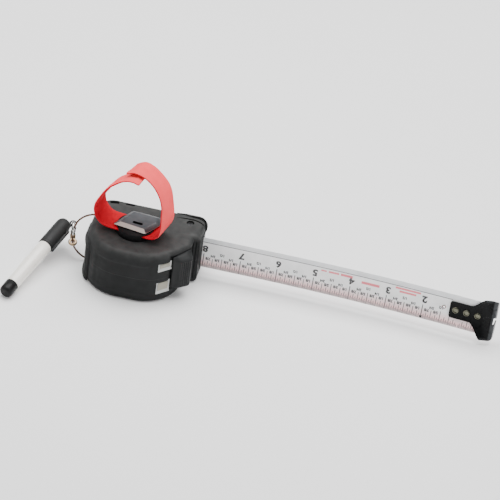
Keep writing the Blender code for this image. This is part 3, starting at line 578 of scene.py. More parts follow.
def make_jacket(upper, mat):
    name = "upper" if upper else "lower"
    sign = 1 if upper else -1
    outer = []
    for inset, z, slope in jacket_rows(upper):
        outline = tightened(0.0, inset)
        normals = outline_normals(outline)
        loop = []
        for spot, normal in zip(outline, normals):
            depth = wall_relief(spot.x, spot.y, z) * (1 - smoothstep(0.35, 0.9, slope))
            out = Vector((normal.x * math.cos(slope), normal.y * math.cos(slope), sign * math.sin(slope)))
            point = Vector((spot.x, spot.y, z)) - out * depth
            if upper and z > BROW_LOW:
                point.x += brow(point, inset)
            loop.append(point)
        outer.append(loop)
    fillet = TOP_FILLET if upper else BOTTOM_FILLET
    face = CASE_HEIGHT if upper else 0.0
    inner = []
    for inset, z in ((JACKET, SPLIT_Z + sign * SEAM), (JACKET, face - sign * (fillet + 0.5)),
                     (max(JACKET, fillet - 2.0), face - sign * 2.6), (fillet + 1.0, face - sign * JACKET),
                     (8.0, face - sign * JACKET)):
        inner.append([Vector((p.x, p.y, z)) for p in tightened(JACKET, inset)])
    bm = loft(outer[::-1] + inner)
    obj = piece("case_jacket_" + name, bm, mat, "case", ["jacket_" + name])
    cutters = [window_prism(24.0, 30.0, 5.4, *WINDOWS[name]),
               block((30.0, 16.03, 4.93), (46.0, 22.57, 33.17)),
               block((26.0, -9.6, 13.6), (36.0, 2.9, 24.4)),
               prism(circle(1.5, 24, LANYARD), -1.0, CASE_HEIGHT + 1.0)]
    if upper:
        cutters.append(prism(circle(2.65, 32, TOE_SCREW), CASE_HEIGHT - JACKET - 0.2, CASE_HEIGHT + 1.0))
        for x, y, turn in ((-21.6, 26.6, 14.0), (-11.0, 27.9, 0.0)):
            notch = block((-3.0, -1.3, 0.0), (3.0, 1.3, 4.0))
            place = Matrix.Translation((x, y, CASE_HEIGHT - 2.6)) @ Matrix.Rotation(math.radians(turn), 4, "Z")
            notch.transform(place)
            cutters.append(notch)
        cutters += [toe_groove(stops) for stops in TOE_GROOVES]
    else:
        cutters.append(prism(WIRE_NOTCH, -1.0, 3.75))
        for spot in SCREW_SPOTS:
            cutters.append(prism(circle(2.7, 32, spot), -1.0, 4.0))
        for k in range(5):
            y = -10.5 + 5.0 * k
            cutters.append(prism(rounded([(-13.0, y + 0.9, 0.8), (-13.0, y - 0.9, 0.8), (15.0, y - 0.9, 0.8),
                                          (15.0, y + 0.9, 0.8)], [6] * 4), -1.0, 0.6))
    return cut(obj, cutters)


def window_frame(radius, along):
    radial = Vector((math.cos(WINDOW_TURN), math.sin(WINDOW_TURN)))
    side = Vector((-radial.y, radial.x))
    return Vector(FRONT_CENTRE) + radial * radius + side * along


def window_prism(inner, outer, half, z_low, z_high):
    corners = [(inner, -half), (outer, -half), (outer, half), (inner, half)]
    return prism([window_frame(r, a) for r, a in corners], z_low, z_high)


def make_windows(mat, tile_mat):
    """Pale tray let into the wall: sloping ledge below, raised tile in the middle."""
    for level, (z_low, z_high) in WINDOWS.items():
        tray = window_prism(25.6, 26.35, 5.35, z_low + 0.05, z_high - 0.05)
        ledge = loft([[Vector((*window_frame(r, a), z)) for r, z in
                       ((26.2, z_low + 0.08), (27.25, z_low + 0.08), (26.2, z_low + 1.7))]
                      for a in (-5.3, 5.3)])
        merge(tray, ledge)
        obj = piece("window_tray_" + level, tray, mat, "case", ["window_" + level])
        soften(obj, 0.12)
        top = z_high - 1.0
        tile = window_prism(26.3, 26.8, 4.0, z_low + 2.2, top)
        soften(piece("window_tile_" + level, tile, tile_mat, "case", ()), 0.18, 3)


def make_rear_pad(mat):
    """Arch-topped rubber pad round the rear, with a sunk middle."""
    corner = CASE_CORNERS[1]
    count = 44
    flat = 16.0
    reach = 35.0 / 57.3 * (corner[2] + 1.0)
    rows_z = [PAD_LOW + (PAD_HIGH - PAD_LOW) * k / 34 for k in range(35)]
    path = []
    for k in range(count + 1):
        distance = -flat + (flat + reach) * k / count
        if distance < 0:
            path.append((Vector((corner[0], corner[1] + corner[2] - distance - 1.0)), Vector((-1.0, 0.0)), distance))
        else:
            turn = math.pi + distance / (corner[2] + 1.0)
            normal = Vector((math.cos(turn), math.sin(turn)))
            centre = Vector(REAR_CENTRE)
            path.append((centre + normal * corner[2], normal, distance))
    outer, inner = [], []
    for z in rows_z:
        row_out, row_in = [], []
        for spot, normal, distance in path:
            side = min(distance + flat, reach - distance)
            arch = PAD_HIGH - z - 6.0 * (1 - math.sqrt(max(0.0, 1 - (1 - min(1.0, side / 6.0)) ** 2)))
            edge = min(side, arch, z - PAD_LOW + 0.6)
            height = 1.7 * smoothstep(-0.2, 1.2, edge) - 0.75 * smoothstep(3.2, 4.2, edge)
            height -= 0.4 * groove(2.2, 1.0, edge)
            row_out.append(Vector((*(spot + normal * max(0.08, height)), z)))
            row_in.append(Vector((*(spot + normal * 0.02), z)))
        outer.append(row_out)
        inner.append(row_in)
    bm = loft([outer[k] + inner[k][::-1] for k in range(len(rows_z))])
    pad = piece("rear_pad", bm, mat, "case", ["rear_grip_pad"])
    cut(pad, [prism(WIRE_NOTCH, -1.0, 3.75)])


TOE_GROOVES = [
    [(22.0, 24.3), (25.5, 25.0), (30.5, 25.4), (35.0, 25.2), (38.2, 24.2), (40.6, 22.5), (42.2, 20.4)],
    [(27.5, 27.9), (31.5, 28.3), (36.0, 28.3), (39.0, 27.5), (41.1, 25.8), (42.4, 23.6)],
]


def toe_groove(stops):
    """Channel over the toe, running out towards its rear end."""
    path = smooth_profile([Vector((x, y, CASE_HEIGHT)) for x, y in stops], 8)
    loops = []
    for i, spot in enumerate(path):
        ahead = path[min(i + 1, len(path) - 1)]
        behind = path[max(i - 1, 0)]
        tangent = (ahead - behind).normalized()
        side = Vector((-tangent.y, tangent.x, 0.0)) * (0.25 + 0.3 * smoothstep(0, 10, i))
        down = Vector((0.0, 0.0, 0.15 + 0.95 * smoothstep(0, 14, i)))
        lift = Vector((0.0, 0.0, 0.8))
        loops.append([spot - side + lift, spot + side + lift, spot + side - down * 0.7, spot - down,
                      spot - side - down * 0.7])
    return loft(loops)


def make_toe(mat):
    """Thick rubber heel outside the base-front corner, with two grooves all round its edge."""
    centre = Vector((36.6, 24.4))
    inner, outer = [Vector((21.0, 30.55))], []
    steps = 16
    for k in range(steps + 1):
        turn = math.radians(90 - 90 * k / steps)
        ray = Vector((math.cos(turn), math.sin(turn)))
        inner.append(centre + 6.2 * ray)
        outer.append(centre + (7.2 + 0.9 * math.sin(turn) ** 4) * ray)
    far = [Vector((30.5, 32.4)), Vector((28.0, 32.35)), Vector((25.5, 32.1)), Vector((23.3, 31.6)), Vector((21.4, 31.1))]
    outline = inner + outer[::-1] + far
    low, high = 3.0, 37.4
    rows = []
    for k in range(53):
        z = low + (high - low) * k / 52
        end = min(z - low, high - z)
        shrink = 0.9 * (1 - smoothstep(0.0, 1.6, end))
        ribs = sum(groove(at, 1.3, z) for at in (6.4, 9.0, 30.6, 33.4))
        shrink += 0.45 * min(1.0, ribs)
        row = []
        for i, spot in enumerate(outline):
            away = i >= len(inner)
            front = smoothstep(41.0, 43.5, spot.x) * (1 - smoothstep(29.5, 33.5, z))
            pull = shrink + 1.3 * front if away else 0.0
            to_centre = (Vector((34.0, 25.0)) - spot).normalized()
            row.append(Vector((*(spot + to_centre * pull), z)))
        rows.append(row)
    piece("toe_heel", loft(rows), mat, "case", ["toe_bumper"])


def make_mouth(mat):
    rows = []
    for grow, x in ((1.15, 35.0), (1.15, 42.9), (0.95, 43.2), (0.25, 43.2), (0.0, 42.8), (0.0, 35.0)):
        corners = [(17.3 - grow, 6.1 - grow, 0.9), (21.3 + grow, 6.1 - grow, 0.9),
                   (21.3 + grow, 31.9 + grow, 0.9), (17.3 - grow, 31.9 + grow, 0.9)]
        rows.append([Vector((x, p.x, p.y)) for p in rounded(corners, [5] * 4)])
    piece("mouth_lining", loft(rows, ring=True), mat, "case", ["mouth_guide"])


def screw_head(radius, z_top, down, cross=True):
    """Pan head about the Z axis with a cross recess, standing up or hanging down."""
    sign = -1 if down else 1
    profile = [(0.05, 0.0), (radius * 0.55, -0.03), (radius * 0.85, -0.18), (radius, -0.42), (radius, -0.8),
               (radius * 0.45, -1.2), (radius * 0.42, -4.0)]
    bm = turned([(r, z_top + sign * z) for r, z in profile], 40)
    arms = [block((-radius * 0.6, -0.22, -0.55), (radius * 0.6, 0.22, 0.5)),
            block((-0.22, -radius * 0.6, -0.55), (0.22, radius * 0.6, 0.5))]
    for arm in arms:
        arm.transform(Matrix.Translation((0, 0, z_top)) @ Matrix.Scale(sign, 4, (0, 0, 1)))
    return bm, arms


def make_screws(mat, dark):
    for number, spot in enumerate(SCREW_SPOTS, 1):
        bm, arms = screw_head(2.3, 0.5, True)
        shift = Matrix.Translation((*spot, 0.0))
        for body in [bm] + arms:
            body.transform(shift @ Matrix.Rotation(0.7 * number, 4, "Z"))
        screw = piece("base_screw_%d" % number, bm, mat, "case", ["case_screw_%d" % number])
        cut(screw, arms)
    bm, arms = screw_head(2.45, CASE_HEIGHT - 0.7, False)
    for body in [bm] + arms:
        body.transform(Matrix.Translation((*TOE_SCREW, 0.0)) @ Matrix.Rotation(0.4, 4, "Z"))
    cut(piece("toe_screw", bm, dark, "case", ["mouth_guide_screw"]), arms)


# ================================================================ lock
def along_stops(stops, place):
    """Straight-line value between (place, value) stops."""
    for (start, low), (end, high) in zip(stops, stops[1:]):
        if place <= end:
            return low + (high - low) * max(0.0, place - start) / (end - start)
    return stops[-1][1]


def make_lock(mat, rubber):
    """Ribbed thumb piece; its stem and arm stay as plain as the real ones inside the case."""
    ridge = smooth_profile([(1.2, -34.0), (2.6, -30.5), (5.2, -26.8), (7.0, -21.0), (8.5, -16.4), (8.3, -13.0),
                            (7.2, -8.5), (5.9, -3.8)], 10)
    tuck = [(-34.0, 0.9), (-27.0, 1.3), (-20.0, 2.0), (-13.4, 2.9), (-7.7, 4.0), (-3.8, 5.3)]
    low, edge, high = 9.2, 31.2, 34.0
    rows = []
    spans = 30
    for k in range(spans + 1):
        z = low + (high - low) * k / spans
        foot = 1.1 * (1 - math.sqrt(max(0.0, 1 - (1 - min(1.0, (z - low) / 1.4)) ** 2)))
        slope = max(0.0, (z - edge) / (high - edge))
        ribs = window(low + 2.0, edge - 1.0, 1.0, z)
        row = []
        for rise, degrees in ridge:
            rib = 0.45 * groove(0.5, 1.0, (degrees + 27.2) / 2.2 % 1.0) * ribs
            rib *= window(-27.0, -16.6, 0.4, degrees)
            under = along_stops(tuck, degrees)
            reach = FRONT_RADIUS + max(0.8, (rise - foot - rib) * (1 - slope) + under * slope)
            turn = math.radians(degrees)
            row.append(Vector((FRONT_CENTRE[0] + reach * math.cos(turn), FRONT_CENTRE[1] + reach * math.sin(turn), z)))
        for step in range(21):
            turn = math.radians(-7.0 - 27.0 * step / 20)
            reach = FRONT_RADIUS + 0.42
            row.append(Vector((FRONT_CENTRE[0] + reach * math.cos(turn), FRONT_CENTRE[1] + reach * math.sin(turn), z)))
        rows.append(row)
    thumb = loft(rows)
    merge(thumb, sector_prism(21.0, FRONT_RADIUS + 1.0, -16.5, -9.5, 14.4, 23.6, 8))
    merge(thumb, sector_prism(20.0, 22.4, -16.0, 32.0, 14.9, 23.1, 24))
    piece("lock_thumb", thumb, mat, "lock", ["lock_slider"])
    shoe = sector_prism(19.6, 22.8, 32.8, 37.4, 13.0, 25.0, 6)
    soften(piece("lock_shoe", shoe, rubber, "lock", ["lock_brake_shoe"]), 0.3)


def sector_prism(inner, outer, start, end, z_low, z_high, steps):
    angles = [math.radians(start + (end - start) * k / steps) for k in range(steps + 1)]
    points = [(FRONT_CENTRE[0] + outer * math.cos(a), FRONT_CENTRE[1] + outer * math.sin(a)) for a in angles]
    points += [(FRONT_CENTRE[0] + inner * math.cos(a), FRONT_CENTRE[1] + inner * math.sin(a)) for a in angles[::-1]]
    return prism(points, z_low, z_high)


# ================================================================ blade
BLADE_WIDTH = 24.6
BLADE_CROWN = 2.7
BLADE_THICK = 0.3
BLADE_Y = 19.3
BLADE_Z = 19.0
BLADE_START = 2.0
BLADE_END = 241.5
ZERO_S = 246.7
PRINT_ZERO = 247.3
BOW_START = 80.0
BOW = math.radians(5.8)
TWIST = math.radians(8.0)
BOW_LENGTH = ZERO_S - BOW_START
RIVET_S = (219.0, 226.6, 234.4)
INCH = 25.4


def blade_frame(s):
    past = max(0.0, s - BOW_START)
    bow = BOW * past / BOW_LENGTH
    twist = TWIST * past / BOW_LENGTH
    radius = BOW_LENGTH / BOW
    centre = Vector((min(s, BOW_START) + radius * math.sin(bow), BLADE_Y - radius * (1 - math.cos(bow)), BLADE_Z))
    direction = Vector((math.cos(bow), -math.sin(bow), 0.0))
    face = Vector((-math.sin(bow), -math.cos(bow), 0.0))
    up = Vector((0.0, 0.0, 1.0))
    across = math.cos(twist) * up - math.sin(twist) * face
    normal = math.cos(twist) * face + math.sin(twist) * up
    return centre, direction, across, normal


def blade_point(s, w, n):
    centre, _, across, normal = blade_frame(s)
    rise = BLADE_CROWN * ((2 * w / BLADE_WIDTH) ** 2 - 0.5)
    return centre + across * w + normal * (rise + n)


def stand_on_blade(s):
    centre, direction, across, normal = blade_frame(s)
    turn = Matrix((direction, across, normal)).transposed().to_4x4()
    return Matrix.Translation(centre - normal * BLADE_CROWN / 2) @ turn


def make_blade(mat):
    half = BLADE_THICK / 2
    columns = [BLADE_WIDTH * (k / 32 - 0.5) for k in range(33)]
    stations = [BLADE_START + (BLADE_END - BLADE_START) * k / 130 for k in range(131)]
    rows = []
    for s in stations:
        front = [blade_point(s, w, half) for w in columns]
        back = [blade_point(s, w, -half) for w in columns]
        rows.append(front + back[::-1])
    bm = loft(rows)
    obj = piece("blade_strip", bm, mat, "blade", ["blade"], sharp=30.0)
    across = obj.data.attributes.new("across", "FLOAT", "POINT")
    spots = blade_columns(stations, columns)
    for vertex, value in zip(across.data, spots):
        vertex.value = value
    hole = turned([(0.9, -3.0), (0.9, 3.0)], 24)
    hole.transform(stand_on_blade(EYELET_S) @ Matrix.Translation((0, EYELET_W, 0)))
    cut(obj, [hole], 30.0)
    return obj


def blade_columns(stations, columns):
    """Place across the blade, 0 at the lower edge and 1 at the upper, for every vertex in order."""
    values = []
    for _ in stations:
        values += [w / BLADE_WIDTH + 0.5 for w in columns]
        values += [w / BLADE_WIDTH + 0.5 for w in columns[::-1]]
    return values


EYELET_S = 210.9
EYELET_W = -0.4
PRINT_LOW = 0.1
PRINT_HIGH = BLADE_THICK / 2 + 0.035
TICK_TOP = {32: 1.9, 16: 2.9, 8: 4.3, 4: 6.4, 2: 7.6, 1: 9.2}
TICK_HALF = {32: 0.15, 16: 0.17, 8: 0.19, 4: 0.2, 2: 0.22, 1: 0.27}
LINE_W = 7.2


def print_strip(bm, s_low, s_high, w_low, w_high, spans_s=1, spans_w=1):
    """Thin printed patch on the concave face."""
    rows = []
    for i in range(spans_s + 1):
        s = s_low + (s_high - s_low) * i / spans_s
        column = [w_low + (w_high - w_low) * k / spans_w for k in range(spans_w + 1)]
        rows.append([blade_point(s, w, PRINT_HIGH) for w in column]
                    + [blade_point(s, w, PRINT_LOW) for w in column[::-1]])
    return merge(bm, loft(rows))


def print_text(bm, text, s_mid, w_mid, height, weight):
    """Characters lie on the blade turned half round, their tops towards the ticked edge."""
    curve = bpy.data.curves.new("figure", "FONT")
    curve.body = text
    curve.size = height / 0.7
    curve.align_x = "CENTER"
    curve.align_y = "CENTER"
    curve.resolution_u = 3
    curve.offset = weight
    curve.extrude = 0.01
    obj = bpy.data.objects.new("figure", curve)
    bpy.context.scene.collection.objects.link(obj)
    bpy.context.view_layer.update()
    graph = bpy.context.evaluated_depsgraph_get()
    mesh = bpy.data.meshes.new_from_object(obj.evaluated_get(graph))
    part = bmesh.new()
    part.from_mesh(mesh)
    bmesh.ops.remove_doubles(part, verts=part.verts, dist=1e-5)
    for k in range(-2, 3):
        everything = part.verts[:] + part.edges[:] + part.faces[:]
        bmesh.ops.bisect_plane(part, geom=everything, plane_co=(0, 1.1 * k, 0), plane_no=(0, 1, 0))
    for vertex in part.verts:
        x, y, z = vertex.co
        height_n = PRINT_HIGH if z > 0 else PRINT_LOW
        vertex.co = blade_point(s_mid - x, w_mid - y, height_n)
    bpy.data.objects.remove(obj, do_unlink=True)
    bpy.data.curves.remove(curve)
    bpy.data.meshes.remove(mesh)
    return merge(bm, part)


def make_print(ink, red):
    """Inch scale: thirty-seconds along the lower edge, figures above, a thin line near the top edge."""
    bm = bmesh.new()
    edge = -BLADE_WIDTH / 2 + 0.15
    last = int(PRINT_ZERO / INCH * 32)
    for count in range(11, last):
        s = PRINT_ZERO - count * INCH / 32
        if s < BLADE_START + 1:
            continue
        kind = next(k for k in (1, 2, 4, 8, 16, 32) if count % (32 // k) == 0)
        if s > RIVET_S[0] - 5.0 and kind < 4:
            continue
        print_strip(bm, s - TICK_HALF[kind], s + TICK_HALF[kind], edge, edge + TICK_TOP[kind], 1, 3)
    for inches in range(2, 10):
        print_text(bm, str(inches), PRINT_ZERO - inches * INCH + 0.6, 1.5, 5.0, 0.34)
    labels = {1: ("1/8", 5.6), 2: ("1/4", 7.9), 3: ("3/8", 5.6), 4: ("1/2", 10.0), 5: ("5/8", 5.6), 6: ("3/4", 7.9),
              7: ("7/8", 5.6)}
    for inches in range(1, 9):
        for eighth, (text, height) in labels.items():
            s = PRINT_ZERO - (inches + eighth / 8) * INCH
            if s < 212.0:
                print_text(bm, text, s, edge + height + 0.5, 1.8, 0.13)
    print_strip(bm, BLADE_START + 2, 216.0, LINE_W - 0.27, LINE_W + 0.27, 110, 1)
    mark = PRINT_ZERO - 2 * INCH
    print_strip(bm, mark - 0.8, mark + 0.8, edge + 0.3, edge + 1.6)
    piece("blade_figures", bm, ink, "blade", (), sharp=60.0)
    bm = bmesh.new()
    for s_low, s_high, w_low, w_high in ((124.8, 128.6, 4.0, 5.2), (130.0, 137.2, 3.8, 5.4), (138.4, 146.6, 3.6, 5.6),
                                         (153.0, 165.5, 1.2, 3.3), (176.4, 194.0, 4.4, 6.0), (179.4, 191.0, 1.8, 3.4)):
        print_strip(bm, s_low, s_high, w_low, w_high, 8, 2)
    piece("blade_colour_bars", bm, red, "blade", (), sharp=60.0)


def make_eyelet(mat):
    path = [Vector((1.05 * math.cos(t), 1.05 * math.sin(t), 0.28)) for t in
            (2 * math.pi * k / 32 for k in range(32))]
    bm = tube(path, 0.3, 10, ring=True)
    bm.transform(stand_on_blade(EYELET_S) @ Matrix.Translation((0, EYELET_W, 0)))
    piece("blade_eyelet", bm, mat, "blade", ())


# ================================================================ end hook
HOOK_NEAR = 214.8
HOOK_HALF = 6.2
HOOK_WING = 15.4
HOOK_CLEAR = 0.35
HOOK_THICK = 0.8
HOOK_LIFT = 1.2
FOLD_S = 243.6
FOLD_RADIUS = 3.2
LIP_LENGTH = 4.2


def hook_half_width(s):
    if s < HOOK_NEAR + 2.0:
        t = 1 - (s - HOOK_NEAR) / 2.0
        return HOOK_HALF - 1.6 * (1 - math.sqrt(max(0.0, 1 - t * t)))
    if s < 229.0:
        return HOOK_HALF
    if s < 238.5:
        t = (s - 229.0) / 9.5
        return HOOK_HALF + (HOOK_WING - HOOK_HALF) * (0.35 * t * t + 0.65 * smoothstep(0, 1, t))
    last = FOLD_S + FOLD_RADIUS * math.pi / 2 + LIP_LENGTH
    if s > last - 10.5:
        t = (s - last + 10.5) / 10.5
        return HOOK_WING - 7.0 * (1 - math.sqrt(max(0.0, 1 - t * t)))
    return HOOK_WING


def hook_point(s, w, n):
    flat = min(1.0, max(0.0, (s - 238.5) / 5.0))
    centre, direction, across, normal = blade_frame(min(s, FOLD_S))
    rise = BLADE_CROWN * ((2 * w / BLADE_WIDTH) ** 2 - 0.5) * (1 - flat)
    height = rise + BLADE_THICK / 2 + HOOK_CLEAR + HOOK_THICK * n + HOOK_LIFT * flat
    past = s - FOLD_S
    if past <= 0:
        return centre + across * w + normal * height
    arc = FOLD_RADIUS * math.pi / 2
    turn = min(past, arc) / FOLD_RADIUS
    arm = FOLD_RADIUS + HOOK_THICK * (n - 1)
    shift = math.sin(turn) * arm
    drop = FOLD_RADIUS - math.cos(turn) * arm
    extra = max(0.0, past - arc)
    top = HOOK_LIFT + BLADE_THICK / 2 + HOOK_CLEAR
    return centre + across * w + direction * shift + normal * (top - drop - extra + HOOK_THICK)


def make_hook(mat):
    last = FOLD_S + FOLD_RADIUS * math.pi / 2 + LIP_LENGTH
    stations = [HOOK_NEAR + (last - HOOK_NEAR) * k / 84 for k in range(85)]
    rows = []
    for s in stations:
        half = hook_half_width(s)
        columns = [half * (k / 16 - 1) for k in range(33)]
        rows.append([hook_point(s, w, 1.0) for w in columns]
                    + [hook_point(s, w, 0.0) for w in columns[::-1]])
    obj = piece("hook_plate", loft(rows), mat, "hook", ["end_hook"], sharp=50.0)
    arc_mid = FOLD_S + FOLD_RADIUS * math.pi / 4
    spot = hook_point(arc_mid, 0.0, 1.0)
    _, direction, across, normal = blade_frame(FOLD_S)
    turn = Matrix((direction, across, normal)).transposed().to_4x4()
    slot = block((-1.7, -2.9, -2.5), (-0.4, 2.3, 2.0))
    slot.transform(Matrix.Translation(spot + direction * 1.4 - normal * 1.6) @ turn)
    notch = block((-1.1, -1.25, -14.0), (4.0, 1.25, 0.6))
    edge = hook_point(FOLD_S + FOLD_RADIUS * math.pi / 2, -0.8, 1.0)
    notch.transform(Matrix.Translation(edge) @ turn)
    cut(obj, [slot, notch], 50.0)
    soften(obj, 0.22, 2, 50.0)


def make_rivets(mat):
    half = BLADE_THICK / 2
    tail = -half - 0.1
    seat = half + HOOK_CLEAR + HOOK_THICK + 0.02
    profile = [(0.1, tail - 0.65), (1.3, tail - 0.6), (1.95, tail - 0.35), (2.1, tail), (1.3, tail), (1.3, seat),
               (2.4, seat)]
    rim = [(2.4, seat + 0.25), (2.3, seat + 0.6), (2.0, seat + 0.85), (1.7, seat + 0.9), (1.45, seat + 0.75),
           (1.3, seat + 0.4), (0.9, seat + 0.3), (0.1, seat + 0.45)]
    for number, s in enumerate(RIVET_S, 1):
        bm = turned(profile + rim, 40)
        bm.transform(stand_on_blade(s))
        piece("rivet_%d" % number, bm, mat, "blade", ["hook_rivet_%d" % number])


# ================================================================ strap and its mount
BOSS_CENTRE = (-1.0, 0.0)
BOSS_RADIUS = 13.0
BOSS_TOP = 43.0
STRAP_WIDTH = 18.5
STRAP_THICK = 1.4
STRAP_Z = 41.4
PLATE_Z = (43.3, 45.6)
PLATE_CORNERS = [
    (-15.6, -5.2, 1.0),
    (7.2, -9.2, 1.5),
    (14.6, 3.2, 1.5),
    (14.0, 12.0, 3.0),
    (-6.5, 13.6, 3.0),
    (-11.8, 2.6, 2.0),
]
STRAP_TURN = math.radians(10.0)
STRAP_ROUTE = [
    # along, height, sideways shift, roll (near edge up), yaw (far edge forward)
    (3.3, 84.0, -3.5, 6.0, 7.0),
    (-0.6, 84.4, -3.4, 7.0, 5.0),
    (-6.9, 82.3, -3.3, 8.5, 3.0),
    (-13.8, 76.5, -3.0, 10.0, 3.0),
    (-17.7, 72.2, -2.6, 6.0, 5.0),
    (-22.1, 65.1, -2.0, 0.0, 5.0),
    (-26.2, 57.2, -1.6, 0.0, 0.0),
    (-26.5, 51.7, -1.5, 0.0, 0.0),
    (-24.6, 46.6, -1.3, 0.0, 0.0),
    (-19.5, 42.3, -1.0, 0.0, 0.0),
    (-10.0, STRAP_Z, -0.3, 0.0, 0.0),
    (0.0, STRAP_Z, 0.0, 0.0, 0.0),
    (9.0, STRAP_Z, 0.0, 0.0, 0.0),
    (15.5, 42.2, 0.0, 0.0, 0.0),
    (19.8, 45.8, 0.2, 0.0, 3.0),
    (21.5, 50.5, 0.3, 0.0, 5.4),
    (21.6, 55.8, 0.6, 0.0, 5.8),
    (20.8, 61.5, 1.0, 0.0, 3.4),
    (19.3, 69.3, 1.8, 0.0, 0.0),
    (16.3, 75.8, 2.6, 4.0, 0.0),
    (11.0, 81.6, 3.0, 7.5, 0.0),
    (4.7, 85.5, 3.4, 7.0, 0.0),
    (-2.3, 86.7, 3.5, 6.0, 3.0),
    (-8.0, 83.9, 3.5, 8.5, 4.0),
]


def strap_rows():
    """Centre, across and outward directions along the webbing, with the distance covered."""
    turn = Matrix.Rotation(-STRAP_TURN, 3, "Z")
    path = smooth_profile([Vector(stop) for stop in STRAP_ROUTE], 9)
    rows = []
    distance = 0.0
    for i, (along, height, shift, roll, yaw) in enumerate(path):
        ahead = path[min(i + 1, len(path) - 1)]
        behind = path[max(i - 1, 0)]
        tangent = Vector((ahead[0] - behind[0], 0.0, ahead[1] - behind[1])).normalized()
        across = Vector((math.sin(math.radians(yaw)), math.cos(math.radians(roll)), -math.sin(math.radians(roll))))
        across = (across - tangent * across.dot(tangent)).normalized()
        centre = turn @ Vector((along, shift, height)) + Vector((*BOSS_CENTRE, 0.0))
        if rows:
            distance += (centre - rows[-1][0]).length
        rows.append((centre, turn @ across, turn @ across.cross(tangent).normalized(), distance))
    return rows


def make_strap(outer_mat, inner_mat):
    """Webbing with a looped outer face and a plain inner one, slightly thicker along its selvedges."""
    rows = strap_rows()
    total = rows[-1][3]
    spans = 16
    loops = []
    for centre, across, out, distance in rows:
        end = min(distance, total - distance)
        trim = 1.0 - 0.05 * (1 - smoothstep(0.0, 2.0, end))
        ripple = 0.05 * math.sin(distance * 0.55) * math.sin(distance * 0.21 + 1.0)
        front, back = [], []
        for k in range(spans + 1):
            a = 2 * k / spans - 1
            selvedge = 0.1 * groove(0.9, 0.18, abs(a)) - 0.42 * smoothstep(0.95, 1.0, abs(a))
            curl = 0.25 * a * a * math.sin(distance * 0.05)
            base = centre + across * a * STRAP_WIDTH / 2 * trim + out * (ripple * a + curl)
            front.append(base + out * (STRAP_THICK / 2 + selvedge))
            back.append(base - out * (STRAP_THICK / 2 + selvedge * 0.6))
        loops.append(front + back[::-1])
    bm = loft(loops)
    side = spans + 1
    bm.faces.ensure_lookup_table()
    layer = bm.loops.layers.uv.new("UVMap")
    outward = bm.faces.layers.int.new("outward")
    count = 2 * side
    for number, face in enumerate(bm.faces):
        row, column = divmod(number, count)
        face[outward] = 0 if column < side - 1 or row >= len(rows) - 1 else 1
        for corner in face.loops:
            index = corner.vert.index
            row_at, column_at = divmod(index, count)
            place = column_at if column_at < side else count - 1 - column_at
            corner[layer].uv = (place / spans * STRAP_WIDTH * MM, rows[min(row_at, len(rows) - 1)][3] * MM)
        face.material_index = face[outward]
    obj = piece("wrist_strap", bm, [outer_mat, inner_mat], "case", ["strap"], sharp=60.0)
    return obj


def make_strap_mount(black, plate_mat, steel):
    profile = [(10.0, 38.25), (BOSS_RADIUS, 38.3), (BOSS_RADIUS, 42.3), (BOSS_RADIUS - 0.25, 42.8),
               (BOSS_RADIUS - 0.8, BOSS_TOP)]
    boss = piece("strap_base", turned(profile, 72, BOSS_CENTRE), black, "case", ["strap_boss"])
    tunnel = block((-20.0, -STRAP_WIDTH / 2 - 0.6, 40.3), (20.0, STRAP_WIDTH / 2 + 0.6, 42.5))
    tunnel.transform(Matrix.Translation((*BOSS_CENTRE, 0.0)) @ Matrix.Rotation(-STRAP_TURN, 4, "Z"))
    cut(boss, [tunnel])
    low, high = PLATE_Z
    rows = []
    bevel = [(0.35, low), (0.0, low + 0.3), (0.0, high - 1.75), (0.15, high - 1.6), (2.5, high - 0.4), (2.9, high - 0.16),
             (3.3, high - 0.1)]
    for inset, z in bevel:
        outline = rounded(inset_corners(PLATE_CORNERS, inset), [8] * 6, [10] * 6)
        rows.append([Vector((p.x, p.y, z)) for p in outline])
    for inset in (3.8, 4.8):
        outline = rounded(inset_corners(PLATE_CORNERS, inset), [8] * 6, [10] * 6)
        rows.append([Vector((p.x, p.y, high - 0.1 - 0.08 * (inset - 3.3))) for p in outline])
    plate = piece("strap_cover", loft(rows), [plate_mat, black], "case", ["strap_plate"], sharp=30.0)
    slot = prism(rounded([(-3.6, 1.25, 1.2), (-3.6, -1.25, 1.2), (3.6, -1.25, 1.2), (3.6, 1.25, 1.2)], [8] * 4),
                 low + 0.25, high + 1.0)
    # The slot's walls take the black material: painted shade inside the slot.
    for face in slot.faces:
        face.material_index = 1
    slot.transform(Matrix.Translation((0.2, -1.0, 0.0)) @ Matrix.Rotation(math.radians(-6.0), 4, "Z"))
    cut(plate, [slot], 30.0)
    screw = turned([(0.1, low + 0.6), (0.9, low + 0.55), (1.2, low + 0.4), (1.2, low + 0.2), (0.9, low + 0.1),
                    (0.9, 42.7)], 32)
    slit = block((-1.4, -0.2, low + 0.35), (1.4, 0.2, low + 1.6))
    cut(piece("cover_screw", screw, steel, "case", ["plate_screw"]), [slit])


# ================================================================ wire hanger and clasp
WIRE_ROUTE = [
    (-27.3, 6.0, 2.0), (-27.3, 6.0, 10.0), (-27.3, 6.0, 19.0), (-27.3, 6.0, 28.0), (-27.3, 6.0, 36.0),
    (-28.6, 6.0, 39.2), (-32.0, 6.0, 39.3), (-37.5, 6.0, 36.2), (-42.0, 6.0, 30.6), (-44.0, 6.0, 23.0),
    (-44.2, 6.0, 15.5), (-42.4, 6.0, 9.0), (-38.0, 6.0, 4.2), (-33.0, 6.0, 1.9), (-29.0, 6.0, 0.95),
]
WIRE_RADIUS = 0.66
CLASP_FOOT = Vector((-44.0, 6.6, 12.6))
CLASP_AXIS = Vector((-0.24, 0.93, 0.26))
CLASP_LOOP_CENTRE = 12.6
CLASP_LOOP_HALF = (2.7, 3.9)
CLASP_WIRE = 0.8


